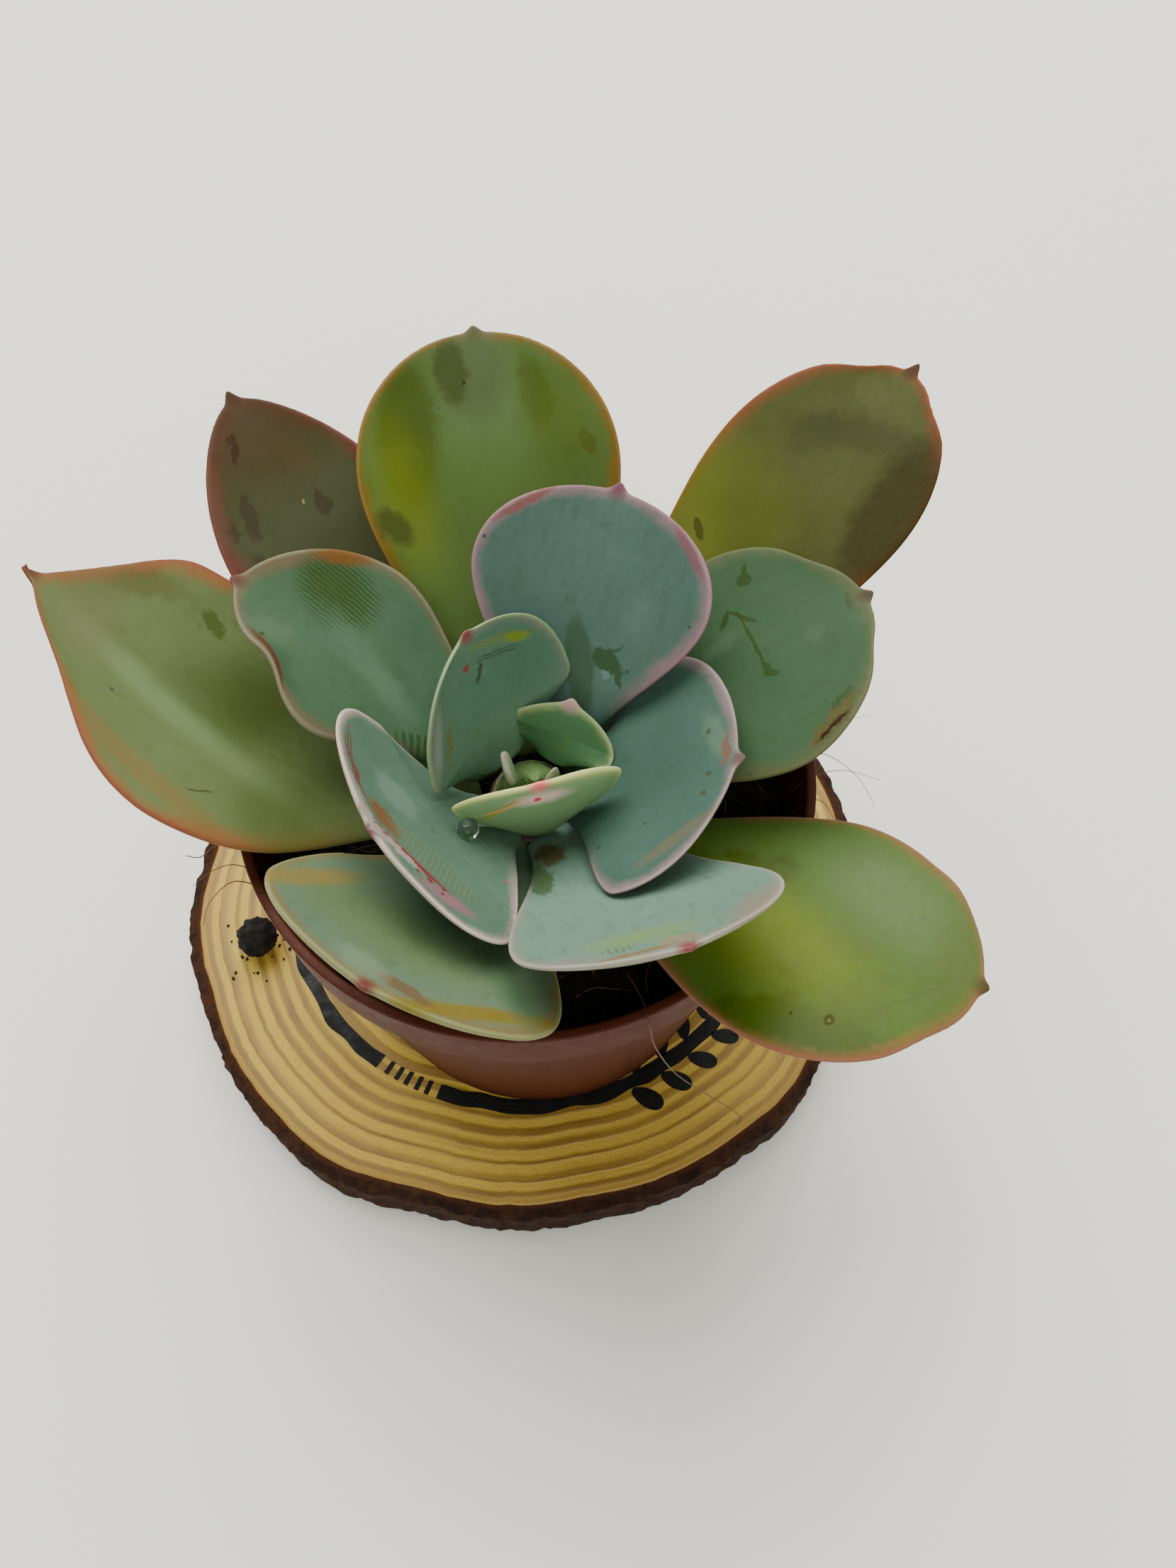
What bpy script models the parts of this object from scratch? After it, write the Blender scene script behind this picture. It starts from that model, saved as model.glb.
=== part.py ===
"""A rosette succulent in a small plastic nursery pot that stands on a slice of wood.

Metres, +Z up. The origin is the point on the underside of the wood slice that lies on the
pot's axis. -Y is the front. Angles called "turn" are measured from +X towards +Y.
"""

import math
from collections import namedtuple

import bmesh
import bpy
from mathutils import Matrix, Vector

MM = 0.001
GAP = 0.3 * MM  # clearance between pieces that rest on or sit in each other

# Slice of a pine branch, used as a coaster. The pot stands off its centre.
SLICE_RADIUS = 51 * MM
SLICE_THICKNESS = 8 * MM
SLICE_CENTRE = (-2 * MM, 11 * MM)
SLICE_CHAMFER = 0.6 * MM
SLICE_SIDES = 72
# (waves round the edge, share of the radius, turn of the first crest)
SLICE_WAVES = ((2, 0.012, 60), (3, 0.010, 200), (5, 0.008, 20), (9, 0.005, 75), (14, 0.004, 10))

# Nursery pot: a tapered body with a wider collar, turned from one profile.
POT_RIM_RADIUS = 32.5 * MM
POT_BASE_RADIUS = 24 * MM
POT_HEIGHT = 48 * MM
POT_WALL = 1.1 * MM
COLLAR_HEIGHT = 8 * MM
COLLAR_STEP = 0.9 * MM
COLLAR_TAPER = 0.6 * MM
FOOT_HEIGHT = 1.6 * MM
FLOOR_THICKNESS = 1.2 * MM
POT_SIDES = 64
DRAIN_HOLES = 6
DRAIN_HOLE_RADIUS = 2.5 * MM
DRAIN_RING_RADIUS = 14 * MM

# Peat mix: it fills the pot to below the rim and is heaped a little round the stem.
SOIL_BELOW_RIM = 7.5 * MM
SOIL_HEAP = 1.8 * MM
SOIL_LUMP = 0.5 * MM
SOIL_SIDES = 40
CRUMB_RADIUS = 2.9 * MM
CRUMB_PLACE = (-41 * MM, -1 * MM)

# Stem: it grows out of the peat, leans to the front and ends above the pot's rim.
STEM_FOOT = (0.0, -2 * MM)
STEM_LEAN = (1.5 * MM, -6 * MM)
STEM_ABOVE_RIM = 10 * MM
STEM_HEIGHT = SOIL_BELOW_RIM + STEM_ABOVE_RIM
ROOT_DEPTH = 14 * MM
STEM_SIDES = 16
# (share of the height above the peat, radius); the root end is below zero
STEM_RADII = ((0.0, 4.6), (0.35, 4.6), (0.6, 3.6), (0.8, 2.0), (0.95, 1.0), (1.0, 0.5))
ROOT_END_RADIUS = 1.8 * MM

# Leaves, oldest first. Lengths are in millimetres and angles in degrees.
# seat: height of the leaf's base above the pot's rim   turn: direction it points
# rise: slope at the base   curl: how much steeper the tip is   sweep: sideways bend
# roll: tilt about the midrib   cup: how far the margins turn up
# widest: share of the length at the widest place
# point: 0 round tip, 1 drawn-out tip, -1 square tip
Leaf = namedtuple(
    "Leaf", "name seat turn length width thick rise curl sweep roll cup widest point"
)
LEAVES = (
    Leaf("leaf_01", -4.3, 132, 55, 24, 3.4, 14, 16, -6, 0, 20, 0.62, 0.5),
    Leaf("leaf_02", -4.3, 42, 59, 26, 3.6, 28, 2, 0, 0, 15, 0.72, 0.1),
    Leaf("leaf_03", -3.1, 174, 54, 25, 3.6, 18, 10, -29, 0, 20, 0.58, 1.0),
    Leaf("leaf_04", -2.5, 323, 47, 27, 3.6, 12, 0, 13, 0, 5, 0.66, 0.2),
    Leaf("leaf_05", -1.7, 98, 48.5, 30, 3.6, 32, 0, 0, 0, 10, 0.68, 0.0),
    Leaf("leaf_06", -1.8, 249, 36, 30, 3.4, 22, 32, 0, -11, 10, 0.74, -0.1),
    Leaf("leaf_07", 0.0, 21, 37, 28, 3.4, 28, 0, 0, 0, 15, 0.64, 0.2),
    Leaf("leaf_08", 1.1, 148, 33.5, 22, 3.4, 32, 0, 14, 0, 28, 0.62, 0.4),
    Leaf("leaf_09", -0.4, 298, 34.5, 26, 2.8, 25, 29, 0, -8, 10, 0.74, -0.2),
    Leaf("leaf_10", 2.9, 69, 29, 27, 3.4, 43, 0, 0, 0, 20, 0.66, 0.0),
    Leaf("leaf_11", 2.8, 227, 22.5, 28.5, 2.6, 35, 25, 0, -16, 14, 0.67, -0.3),
    Leaf("leaf_12", 3.4, 350.3, 20.2, 30, 2.4, 30, 7, 0, -3, 15, 0.50, 0.0),
    Leaf("leaf_13", 3.9, 115, 17.8, 17.0, 2.3, 58, 6, 0, 0, 18, 0.54, 0.0),
    Leaf("leaf_14", 2.1, 285.0, 11.8, 15.6, 1.7, 79, 9, 0, 0, 24, 0.80, -0.1),
    Leaf("leaf_15", 5.2, 56, 7.4, 11.5, 1.6, 64, 0, 0, 0, 26, 0.62, 0.0),
    Leaf("leaf_16", 7.6, 215, 4.8, 2.2, 1.4, 66, 0, -90, 0, 0, 0.55, 0.2),
    Leaf("leaf_17", 8.4, 320, 2.6, 1.5, 1.0, 74, 0, 0, 0, 0, 0.55, 0.2),
)
STALK_SHARE = 0.26  # width of a leaf's base, as a share of its widest place
TIP_POINT = 0.02  # length of the small hard point on a leaf's tip, as a share of its length
LEAF_RINGS = 16
LEAF_SIDES = 14


def material(name, colour, roughness):
    """A Principled material with the piece's plain colour."""
    made = bpy.data.materials.new(name)
    made.use_nodes = True
    shader = made.node_tree.nodes["Principled BSDF"]
    shader.inputs["Base Color"].default_value = (*colour, 1.0)
    shader.inputs["Roughness"].default_value = roughness
    shader.inputs["Metallic"].default_value = 0.0
    return made


def add_object(name, mesh_source, surface, smooth_below=40):
    """Turns a bmesh into a named, smooth-shaded object in the scene."""
    mesh = bpy.data.meshes.new(name)
    mesh_source.normal_update()
    bmesh.ops.recalc_face_normals(mesh_source, faces=mesh_source.faces)
    mesh_source.to_mesh(mesh)
    mesh_source.free()
    mesh.shade_smooth()
    mesh.set_sharp_from_angle(angle=math.radians(smooth_below))
    mesh.materials.append(surface)
    made = bpy.data.objects.new(name, mesh)
    bpy.context.scene.collection.objects.link(made)
    return made


def turned(profile, sides):
    """A closed bmesh turned about Z from (radius, height) points that begin and end on the axis
    or that close on themselves."""
    shape = bmesh.new()
    points = [shape.verts.new((radius, 0, height)) for radius, height in profile]
    edges = [shape.edges.new(pair) for pair in zip(points, points[1:])]
    if profile[0][0] > 0 or profile[-1][0] > 0:
        edges.append(shape.edges.new((points[-1], points[0])))
    bmesh.ops.spin(
        shape,
        geom=points + edges,
        axis=(0, 0, 1),
        cent=(0, 0, 0),
        angle=math.tau,
        steps=sides,
        use_merge=True,
    )
    bmesh.ops.remove_doubles(shape, verts=shape.verts, dist=0.005 * MM)
    return shape


def cutter_from(shape, name):
    """An object that only cuts others: it isn't rendered and isn't a piece."""
    mesh = bpy.data.meshes.new(name)
    shape.normal_update()
    bmesh.ops.recalc_face_normals(shape, faces=shape.faces)
    shape.to_mesh(mesh)
    shape.free()
    made = bpy.data.objects.new(name, mesh)
    bpy.context.scene.collection.objects.link(made)
    made.hide_render = True
    made.display_type = "WIRE"
    return made


def cut(target, cutter):
    """Cuts one object with another by an exact Boolean."""
    modifier = target.modifiers.new("cut", "BOOLEAN")
    modifier.operation = "DIFFERENCE"
    modifier.solver = "EXACT"
    modifier.object = cutter


def wavy_radius(angle):
    """Radius of the wood slice's edge in a direction: a circle with a few waves."""
    share = sum(
        size * math.cos(count * (angle - math.radians(crest)))
        for count, size, crest in SLICE_WAVES
    )
    return SLICE_RADIUS * (1 + share)


def build_slice(surface):
    """Wood slice: a disc whose outline is wavy and whose edges are slightly chamfered."""
    shape = bmesh.new()
    bmesh.ops.create_cone(
        shape,
        cap_ends=True,
        segments=SLICE_SIDES,
        radius1=SLICE_RADIUS,
        radius2=SLICE_RADIUS,
        depth=SLICE_THICKNESS,
    )
    for vertex in shape.verts:
        angle = math.atan2(vertex.co.y, vertex.co.x)
        vertex.co.xy = vertex.co.xy * (wavy_radius(angle) / SLICE_RADIUS)
    rims = [edge for edge in shape.edges if abs(edge.verts[0].co.z - edge.verts[1].co.z) < GAP]
    bmesh.ops.bevel(
        shape, geom=rims, offset=SLICE_CHAMFER, segments=1, profile=0.5, affect="EDGES", material=-1
    )
    centre = (*SLICE_CENTRE, SLICE_THICKNESS / 2)
    bmesh.ops.translate(shape, verts=shape.verts, vec=centre)
    return add_object("wood_slice", shape, surface)


def pot_inner_radius(height):
    """Inside radius of the pot's wall at a height above the wood slice's top."""
    share = height / (POT_HEIGHT - COLLAR_HEIGHT)
    body_top = POT_RIM_RADIUS - COLLAR_TAPER - COLLAR_STEP
    body = POT_BASE_RADIUS + (body_top - POT_BASE_RADIUS) * min(share, 1.0)
    if share <= 1.0:
        return body - POT_WALL
    up_collar = (height - (POT_HEIGHT - COLLAR_HEIGHT)) / COLLAR_HEIGHT
    return body - POT_WALL + (COLLAR_TAPER + COLLAR_STEP) * up_collar


def build_pot(surface):
    """Pot: a thin-walled tapered cup with a collar, a raised floor and drain holes."""
    collar_foot = POT_HEIGHT - COLLAR_HEIGHT
    body_top = POT_RIM_RADIUS - COLLAR_TAPER - COLLAR_STEP
    floor_top = FOOT_HEIGHT + FLOOR_THICKNESS
    foot_inside = POT_BASE_RADIUS - 2 * POT_WALL
    profile = [
        (0.0, floor_top),
        (pot_inner_radius(floor_top), floor_top),
        (pot_inner_radius(collar_foot), collar_foot),
        (pot_inner_radius(POT_HEIGHT), POT_HEIGHT),
        (POT_RIM_RADIUS, POT_HEIGHT),
        (POT_RIM_RADIUS - COLLAR_TAPER, collar_foot),
        (body_top, collar_foot - COLLAR_STEP / 2),
        (POT_BASE_RADIUS, 0.0),
        (foot_inside, 0.0),
        (foot_inside, FOOT_HEIGHT),
        (0.0, FOOT_HEIGHT),
    ]
    shape = turned(profile, POT_SIDES)
    bmesh.ops.translate(shape, verts=shape.verts, vec=(0, 0, POT_FOOT_Z))
    pot = add_object("pot", shape, surface)
    holes = bmesh.new()
    for number in range(DRAIN_HOLES):
        angle = math.tau * number / DRAIN_HOLES
        place = (
            DRAIN_RING_RADIUS * math.cos(angle),
            DRAIN_RING_RADIUS * math.sin(angle),
            POT_FOOT_Z + FOOT_HEIGHT,
        )
        bmesh.ops.create_cone(
            holes,
            cap_ends=True,
            segments=12,
            radius1=DRAIN_HOLE_RADIUS,
            radius2=DRAIN_HOLE_RADIUS,
            depth=4 * FLOOR_THICKNESS,
            matrix=Matrix.Translation(place),
        )
    cut(pot, cutter_from(holes, "drain_hole_cutter"))
    return pot


def soil_height(x, y):
    """Height of the peat's surface above its edge: a low heap with small lumps."""
    from_middle = min(1.0, math.hypot(x, y) / pot_inner_radius(SOIL_TOP))
    heap = SOIL_HEAP * (1 - from_middle**2)
    lumps = math.sin(x / (3.1 * MM) + 1.0) * math.cos(y / (2.7 * MM)) * SOIL_LUMP
    return heap + lumps * (1 - from_middle**6)


def build_soil(surface):
    """Peat: it follows the inside of the pot, and the root end of the stem sits in it."""
    bottom = FOOT_HEIGHT + FLOOR_THICKNESS + GAP
    collar_foot = POT_HEIGHT - COLLAR_HEIGHT
    heights = sorted([bottom, collar_foot, SOIL_TOP])
    profile = [(0.0, bottom)]
    profile += [(pot_inner_radius(z) - GAP, z) for z in heights]
    rings = 6
    edge = pot_inner_radius(SOIL_TOP) - GAP
    profile += [(edge * (rings - ring) / rings, SOIL_TOP) for ring in range(1, rings + 1)]
    shape = turned(profile, SOIL_SIDES)
    for vertex in shape.verts:
        inside = math.hypot(vertex.co.x, vertex.co.y) < edge - GAP
        if inside and vertex.co.z > SOIL_TOP - GAP:
            vertex.co.z += soil_height(vertex.co.x, vertex.co.y)
    bmesh.ops.translate(shape, verts=shape.verts, vec=(0, 0, POT_FOOT_Z))
    soil = add_object("peat_mix", shape, surface)
    cut(soil, cutter_from(stem_shape(GAP), "root_cutter"))
    return soil


def build_crumb(surface):
    """A crumb of peat that fell on the wood slice."""
    shape = bmesh.new()
    bmesh.ops.create_icosphere(shape, subdivisions=2, radius=CRUMB_RADIUS)
    for vertex in shape.verts:
        bump = 1 + 0.12 * math.sin(7 * vertex.co.x / CRUMB_RADIUS) * math.cos(
            5 * vertex.co.y / CRUMB_RADIUS + 2 * vertex.co.z / CRUMB_RADIUS
        )
        vertex.co *= bump
        vertex.co.z = max(vertex.co.z, -0.6 * CRUMB_RADIUS)
    lowest = min(vertex.co.z for vertex in shape.verts)
    place = (*CRUMB_PLACE, SLICE_THICKNESS + GAP - lowest)
    bmesh.ops.translate(shape, verts=shape.verts, vec=place)
    return add_object("peat_crumb", shape, surface)


def stem_radius(share):
    """Stem radius at a share of its height above the peat."""
    for (low, first), (high, second) in zip(STEM_RADII, STEM_RADII[1:]):
        if share <= high:
            return MM * (first + (second - first) * (share - low) / (high - low))
    return STEM_RADII[-1][1] * MM


def stem_axis(height):
    """Point on the stem's axis at a height above the peat. Below it the root goes straight down."""
    share = max(0.0, height / STEM_HEIGHT)
    lean = share**1.3
    return Vector(
        (
            STEM_FOOT[0] + STEM_LEAN[0] * lean,
            STEM_FOOT[1] + STEM_LEAN[1] * lean,
            SOIL_Z + height,
        )
    )


def stem_shape(grown=0.0):
    """The stem with its root end, made thicker by a clearance when it is used as a cutter."""
    levels = [(-ROOT_DEPTH, ROOT_END_RADIUS)]
    levels += [(share * STEM_HEIGHT, stem_radius(share)) for share, _ in STEM_RADII]
    shape = bmesh.new()
    rings = []
    for height, radius in levels:
        middle = stem_axis(height)
        if height < 0:
            middle.z -= grown
        made = bmesh.ops.create_circle(
            shape,
            segments=STEM_SIDES,
            radius=radius + grown,
            matrix=Matrix.Translation(middle),
        )
        rings.append(list({edge for vertex in made["verts"] for edge in vertex.link_edges}))
    for lower, upper in zip(rings, rings[1:]):
        bmesh.ops.bridge_loops(shape, edges=lower + upper)
    bmesh.ops.holes_fill(shape, edges=rings[0])
    bmesh.ops.holes_fill(shape, edges=rings[-1])
    return shape


def build_stem(surface):
    return add_object("stem", stem_shape(), surface)


def round_end(share):
    """1 at share 0 falling to 0 at share 1, as a quarter of a circle does."""
    return math.sqrt(max(0.0, 1 - share * share))


def leaf_outline(along, leaf):
    """(half width, thickness share) at a share of the leaf's length."""
    base_end = 0.05
    rounded_base = round_end(1 - along / base_end) if along < base_end else 1.0
    to_widest = min(1.0, along / leaf.widest)
    swell = to_widest * to_widest * (3 - 2 * to_widest)
    blade = STALK_SHARE + (1 - STALK_SHARE) * swell
    past = max(0.0, (along - leaf.widest) / (1 - leaf.widest))
    blunt = round_end(past)
    drawn = (1 - past) * (1 + 0.9 * past)
    square = (1 - past**4) ** 0.25
    other = drawn if leaf.point > 0 else square
    apex = blunt + (other - blunt) * abs(leaf.point)
    width = leaf.width / 2 * MM * blade * rounded_base * apex
    thickness = (0.8 + 0.8 * min(along, 0.25)) * (1 - 0.4 * along) * rounded_base * blunt**0.8
    return width, thickness


def midrib(leaf):
    """Points and frames down the middle of a leaf: (place, forward, sideways, up) by share."""
    seat = SOIL_BELOW_RIM + leaf.seat * MM
    place = stem_axis(seat)
    start = Vector((math.cos(math.radians(leaf.turn)), math.sin(math.radians(leaf.turn)), 0))
    clear_of_stem = GAP + 0.4 * leaf.thick * MM * math.sin(math.radians(leaf.rise))
    place += start * (stem_radius(seat / STEM_HEIGHT) + clear_of_stem)
    frames = []
    steps = 120
    for step in range(steps + 1):
        share = step / steps
        slope = math.radians(leaf.rise + leaf.curl * share)
        heading = math.radians(leaf.turn + leaf.sweep * share)
        forward = Vector(
            (
                math.cos(heading) * math.cos(slope),
                math.sin(heading) * math.cos(slope),
                math.sin(slope),
            )
        )
        sideways = Vector((math.sin(heading), -math.cos(heading), 0))
        up = sideways.cross(forward)
        tilt = Matrix.Rotation(math.radians(leaf.roll) * min(1.0, share / 0.5), 3, forward)
        frames.append((place.copy(), forward, tilt @ sideways, tilt @ up))
        place += forward * (leaf.length * MM / steps)
    return frames


def leaf_point(leaf, frames, along, around):
    """A point on a leaf's skin: along its length and at an angle round its section."""
    place, forward, sideways, up = frames[round(along * (len(frames) - 1))]
    half_width, thickness = leaf_outline(along, leaf)
    across, height = math.cos(around), math.sin(around)
    cup = math.radians(max(leaf.cup, 0.1)) * min(1.0, along / 0.3)
    if cup < 1e-4:
        cup = 1e-4
    bend = across * cup
    shift = half_width * math.sin(bend) / cup
    lift = half_width * (1 - math.cos(bend)) / cup
    side = 0.42 if height > 0 else 0.58
    depth = side * leaf.thick * MM * thickness * math.copysign(abs(height) ** 0.9, height)
    return place + sideways * (shift - depth * math.sin(bend)) + up * (lift + depth * math.cos(bend))


def build_leaf(leaf, surface):
    """A leaf: a sphere whose poles become the base and the tip, blown into the leaf's shape."""
    shape = bmesh.new()
    bmesh.ops.create_uvsphere(shape, u_segments=LEAF_SIDES, v_segments=LEAF_RINGS, radius=1)
    frames = midrib(leaf)
    for vertex in shape.verts:
        along = (1 - max(-1.0, min(1.0, vertex.co.z))) / 2
        around = math.atan2(vertex.co.y, vertex.co.x)
        vertex.co = leaf_point(leaf, frames, along, around)
    tip = max(shape.verts, key=lambda vertex: (vertex.co - frames[0][0]).dot(frames[-1][1]))
    tip.co += frames[-1][1] * (TIP_POINT * leaf.length * MM)
    return add_object(leaf.name, shape, surface, smooth_below=60)


for old in list(bpy.data.objects):
    bpy.data.objects.remove(old)

POT_FOOT_Z = SLICE_THICKNESS + GAP
SOIL_TOP = POT_HEIGHT - SOIL_BELOW_RIM
SOIL_Z = POT_FOOT_Z + SOIL_TOP

build_slice(material("pine", (0.62, 0.45, 0.16), 0.7))
build_pot(material("terracotta_plastic", (0.36, 0.14, 0.08), 0.45))
PEAT = material("peat", (0.02, 0.015, 0.01), 0.95)
build_soil(PEAT)
build_crumb(PEAT)
build_stem(material("stem_bark", (0.20, 0.18, 0.08), 0.8))
LEAF_SKIN = material("leaf_skin", (0.22, 0.36, 0.26), 0.5)
for entry in LEAVES:
    build_leaf(entry, LEAF_SKIN)
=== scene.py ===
import math
import random
from collections import namedtuple

import bmesh
import bpy
from mathutils import Matrix, Vector, kdtree, noise


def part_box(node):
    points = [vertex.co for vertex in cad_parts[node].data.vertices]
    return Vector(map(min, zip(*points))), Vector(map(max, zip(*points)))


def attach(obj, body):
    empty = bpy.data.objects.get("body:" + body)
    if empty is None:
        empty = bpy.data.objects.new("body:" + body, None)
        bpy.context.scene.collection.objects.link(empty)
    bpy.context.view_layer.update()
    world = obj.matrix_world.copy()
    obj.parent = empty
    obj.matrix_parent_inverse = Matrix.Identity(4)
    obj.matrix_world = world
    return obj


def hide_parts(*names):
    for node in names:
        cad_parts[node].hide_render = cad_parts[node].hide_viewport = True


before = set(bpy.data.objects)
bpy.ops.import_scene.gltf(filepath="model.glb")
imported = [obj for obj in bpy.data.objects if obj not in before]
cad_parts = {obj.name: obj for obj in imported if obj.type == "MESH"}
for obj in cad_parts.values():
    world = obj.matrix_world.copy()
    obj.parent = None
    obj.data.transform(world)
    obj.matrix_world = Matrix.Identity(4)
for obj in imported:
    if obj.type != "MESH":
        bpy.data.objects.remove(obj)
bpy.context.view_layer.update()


# Camera: held in the hand in front of the plant, a little to the right of the pot's axis, and
# tipped down so that it looks into the rosette.
camera = bpy.data.objects.new("camera", bpy.data.cameras.new("camera"))
camera.data.sensor_width = 36
camera.data.lens = 27.03
camera.data.clip_start = 0.01
camera.location = (0.0069, -0.0710, 0.1681)
camera.rotation_euler = (math.radians(31.4), 0, 0)
bpy.context.scene.collection.objects.link(camera)
bpy.context.scene.camera = camera


# Studio: a sheet of pale matt card on the table, a wide soft lamp behind the plant on the left,
# a weaker one in front, and even light from the room.
def surface(name):
    """A new material, its node tree and its shader."""
    made = bpy.data.materials.new(name)
    made.use_nodes = True
    return made, made.node_tree, made.node_tree.nodes["Principled BSDF"]


def wire(tree, kind, sockets=None, out=0, **settings):
    """Adds a node, sets it, and gives each named socket a value or a link."""
    made = tree.nodes.new("ShaderNode" + kind)
    for key, value in settings.items():
        setattr(made, key, value)
    for key, value in (sockets or {}).items():
        if isinstance(value, bpy.types.NodeSocket):
            tree.links.new(value, made.inputs[key])
        else:
            made.inputs[key].default_value = value
    return made.outputs[out]


def tone(red, green, blue):
    """A colour from a paint chart's 0 to 255 values."""
    parts = [c / 255 for c in (red, green, blue)]
    return (*[p / 12.92 if p < 0.04 else ((p + 0.055) / 1.055) ** 2.4 for p in parts], 1)


def here_in_mm(tree):
    """Place on the piece, in millimetres."""
    place = wire(tree, "TexCoord", out="Object")
    return wire(tree, "VectorMath", {0: place, "Scale": 1000.0}, operation="SCALE")


def mottle(tree, where, size, detail=3.0, rough=0.5, out=0):
    """Cloudy noise whose patches are about size millimetres across."""
    sockets = {"Vector": where, "Scale": 1 / size, "Detail": detail, "Roughness": rough}
    return wire(tree, "TexNoise", sockets, out=out)


def between(tree, value, low, high, start=0.0, end=1.0):
    """Goes smoothly from start to end while value goes from low to high."""
    sockets = {"Value": value, "From Min": low, "From Max": high, "To Min": start, "To Max": end}
    return wire(tree, "MapRange", sockets, interpolation_type="SMOOTHSTEP")


def sum_of(tree, first, second, how="ADD"):
    return wire(tree, "Math", {0: first, 1: second}, operation=how)


def product(tree, first, second):
    return sum_of(tree, first, second, "MULTIPLY")


def blend(tree, share, first, second, how="MIX"):
    """Colour first, going over to second as share goes from 0 to 1."""
    sockets = {0: share, 6: first, 7: second}
    return wire(tree, "Mix", sockets, out=2, data_type="RGBA", blend_type=how)


def relief(tree, shader, height, depth):
    """Raises the surface by up to depth millimetres where height is 1."""
    bumped = wire(tree, "Bump", {"Strength": 1.0, "Distance": depth * 0.001, "Height": height})
    tree.links.new(bumped, shader.inputs["Normal"])


def add_piece(name, shape, finish, smooth_below=180):
    """Turns a bmesh into a named, smooth-shaded piece with its finish."""
    mesh = bpy.data.meshes.new(name)
    shape.normal_update()
    bmesh.ops.recalc_face_normals(shape, faces=shape.faces)
    shape.to_mesh(mesh)
    shape.free()
    mesh.shade_smooth()
    if smooth_below < 180:
        mesh.set_sharp_from_angle(angle=math.radians(smooth_below))
    mesh.materials.append(finish)
    piece = bpy.data.objects.new(name, mesh)
    bpy.context.scene.collection.objects.link(piece)
    return piece


card_finish, tree, shader = surface("pale_card")
card_grain = mottle(tree, here_in_mm(tree), 0.6, 2)
card_colour = blend(tree, card_grain, tone(229, 228, 217), tone(233, 232, 221))
tree.links.new(card_colour, shader.inputs["Base Color"])
shader.inputs["Roughness"].default_value = 0.75
shader.inputs["Specular IOR Level"].default_value = 0.2
shape = bmesh.new()
bmesh.ops.create_grid(shape, x_segments=1, y_segments=1, size=3)
card_mesh = bpy.data.meshes.new("card")
shape.to_mesh(card_mesh)
shape.free()
card_mesh.materials.append(card_finish)
card = bpy.data.objects.new("card", card_mesh)
bpy.context.scene.collection.objects.link(card)

for lamp_name, place, size, power in (
    ("back_lamp", (-0.20, 0.78, 1.42), 1.5, 52.0),
    ("front_lamp", (0.10, -1.20, 1.00), 1.2, 9.0),
):
    lamp = bpy.data.objects.new(lamp_name, bpy.data.lights.new(lamp_name, "AREA"))
    lamp.data.shape = "SQUARE"
    lamp.data.size = size
    lamp.data.energy = power
    lamp.location = place
    lamp.rotation_euler = (Vector((0, 0, 0.04)) - Vector(place)).to_track_quat("-Z", "Y").to_euler()
    bpy.context.scene.collection.objects.link(lamp)
room = bpy.data.worlds.new("room")
room.use_nodes = True
room.node_tree.nodes["Background"].inputs["Color"].default_value = (0.98, 0.98, 0.95, 1)
room.node_tree.nodes["Background"].inputs["Strength"].default_value = 0.68
bpy.context.scene.world = room


# Wood slice: sawn across a pine branch, 8 mm thick, with its bark left on. The pot stands on it
# off its centre. Its outline is a circle with a few waves, and its rings follow the outline.
MM = 0.001
SLICE_RADIUS = 51 * MM
SLICE_CENTRE = Vector((-2 * MM, 11 * MM, 0))
SLICE_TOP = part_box("wood_slice")[1].z
SLICE_WAVES = ((2, 0.012, 60), (3, 0.010, 200), (5, 0.008, 20), (9, 0.005, 75), (14, 0.004, 10))
BARK_THICKNESS = 2.0 * MM
RING_WIDTH = 2.0  # mm
PITH_TO_BARK = 47.7  # mm, on a ring scale that follows the outline


def slice_edge(turn):
    """Outside radius of the bark in a direction."""
    waves = sum(size * math.cos(n * (turn - math.radians(crest))) for n, size, crest in SLICE_WAVES)
    return SLICE_RADIUS * (1 + waves)


def wood_edge(turn):
    """Radius where the wood ends and the bark begins."""
    ragged = noise.noise(Vector((math.cos(turn), math.sin(turn), 0)) * 4.0) * 0.4 * MM
    ragged += noise.noise(Vector((math.cos(turn), math.sin(turn), 2)) * 21.0) * 0.2 * MM
    return slice_edge(turn) - BARK_THICKNESS + ragged


def turned(profile, steps, angle=math.tau):
    """A bmesh spun about Z from points given as (radius, height)."""
    shape = bmesh.new()
    points = [shape.verts.new((radius, 0, height)) for radius, height in profile]
    edges = [shape.edges.new(pair) for pair in zip(points, points[1:])]
    if profile[0][0] > 0 or profile[-1][0] > 0:
        edges.append(shape.edges.new((points[-1], points[0])))
    bmesh.ops.spin(
        shape, geom=points + edges, axis=(0, 0, 1), cent=(0, 0, 0), angle=angle, steps=steps,
        use_merge=angle > 6.28,
    )
    bmesh.ops.remove_doubles(shape, verts=shape.verts, dist=0.002 * MM)
    return shape


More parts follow.
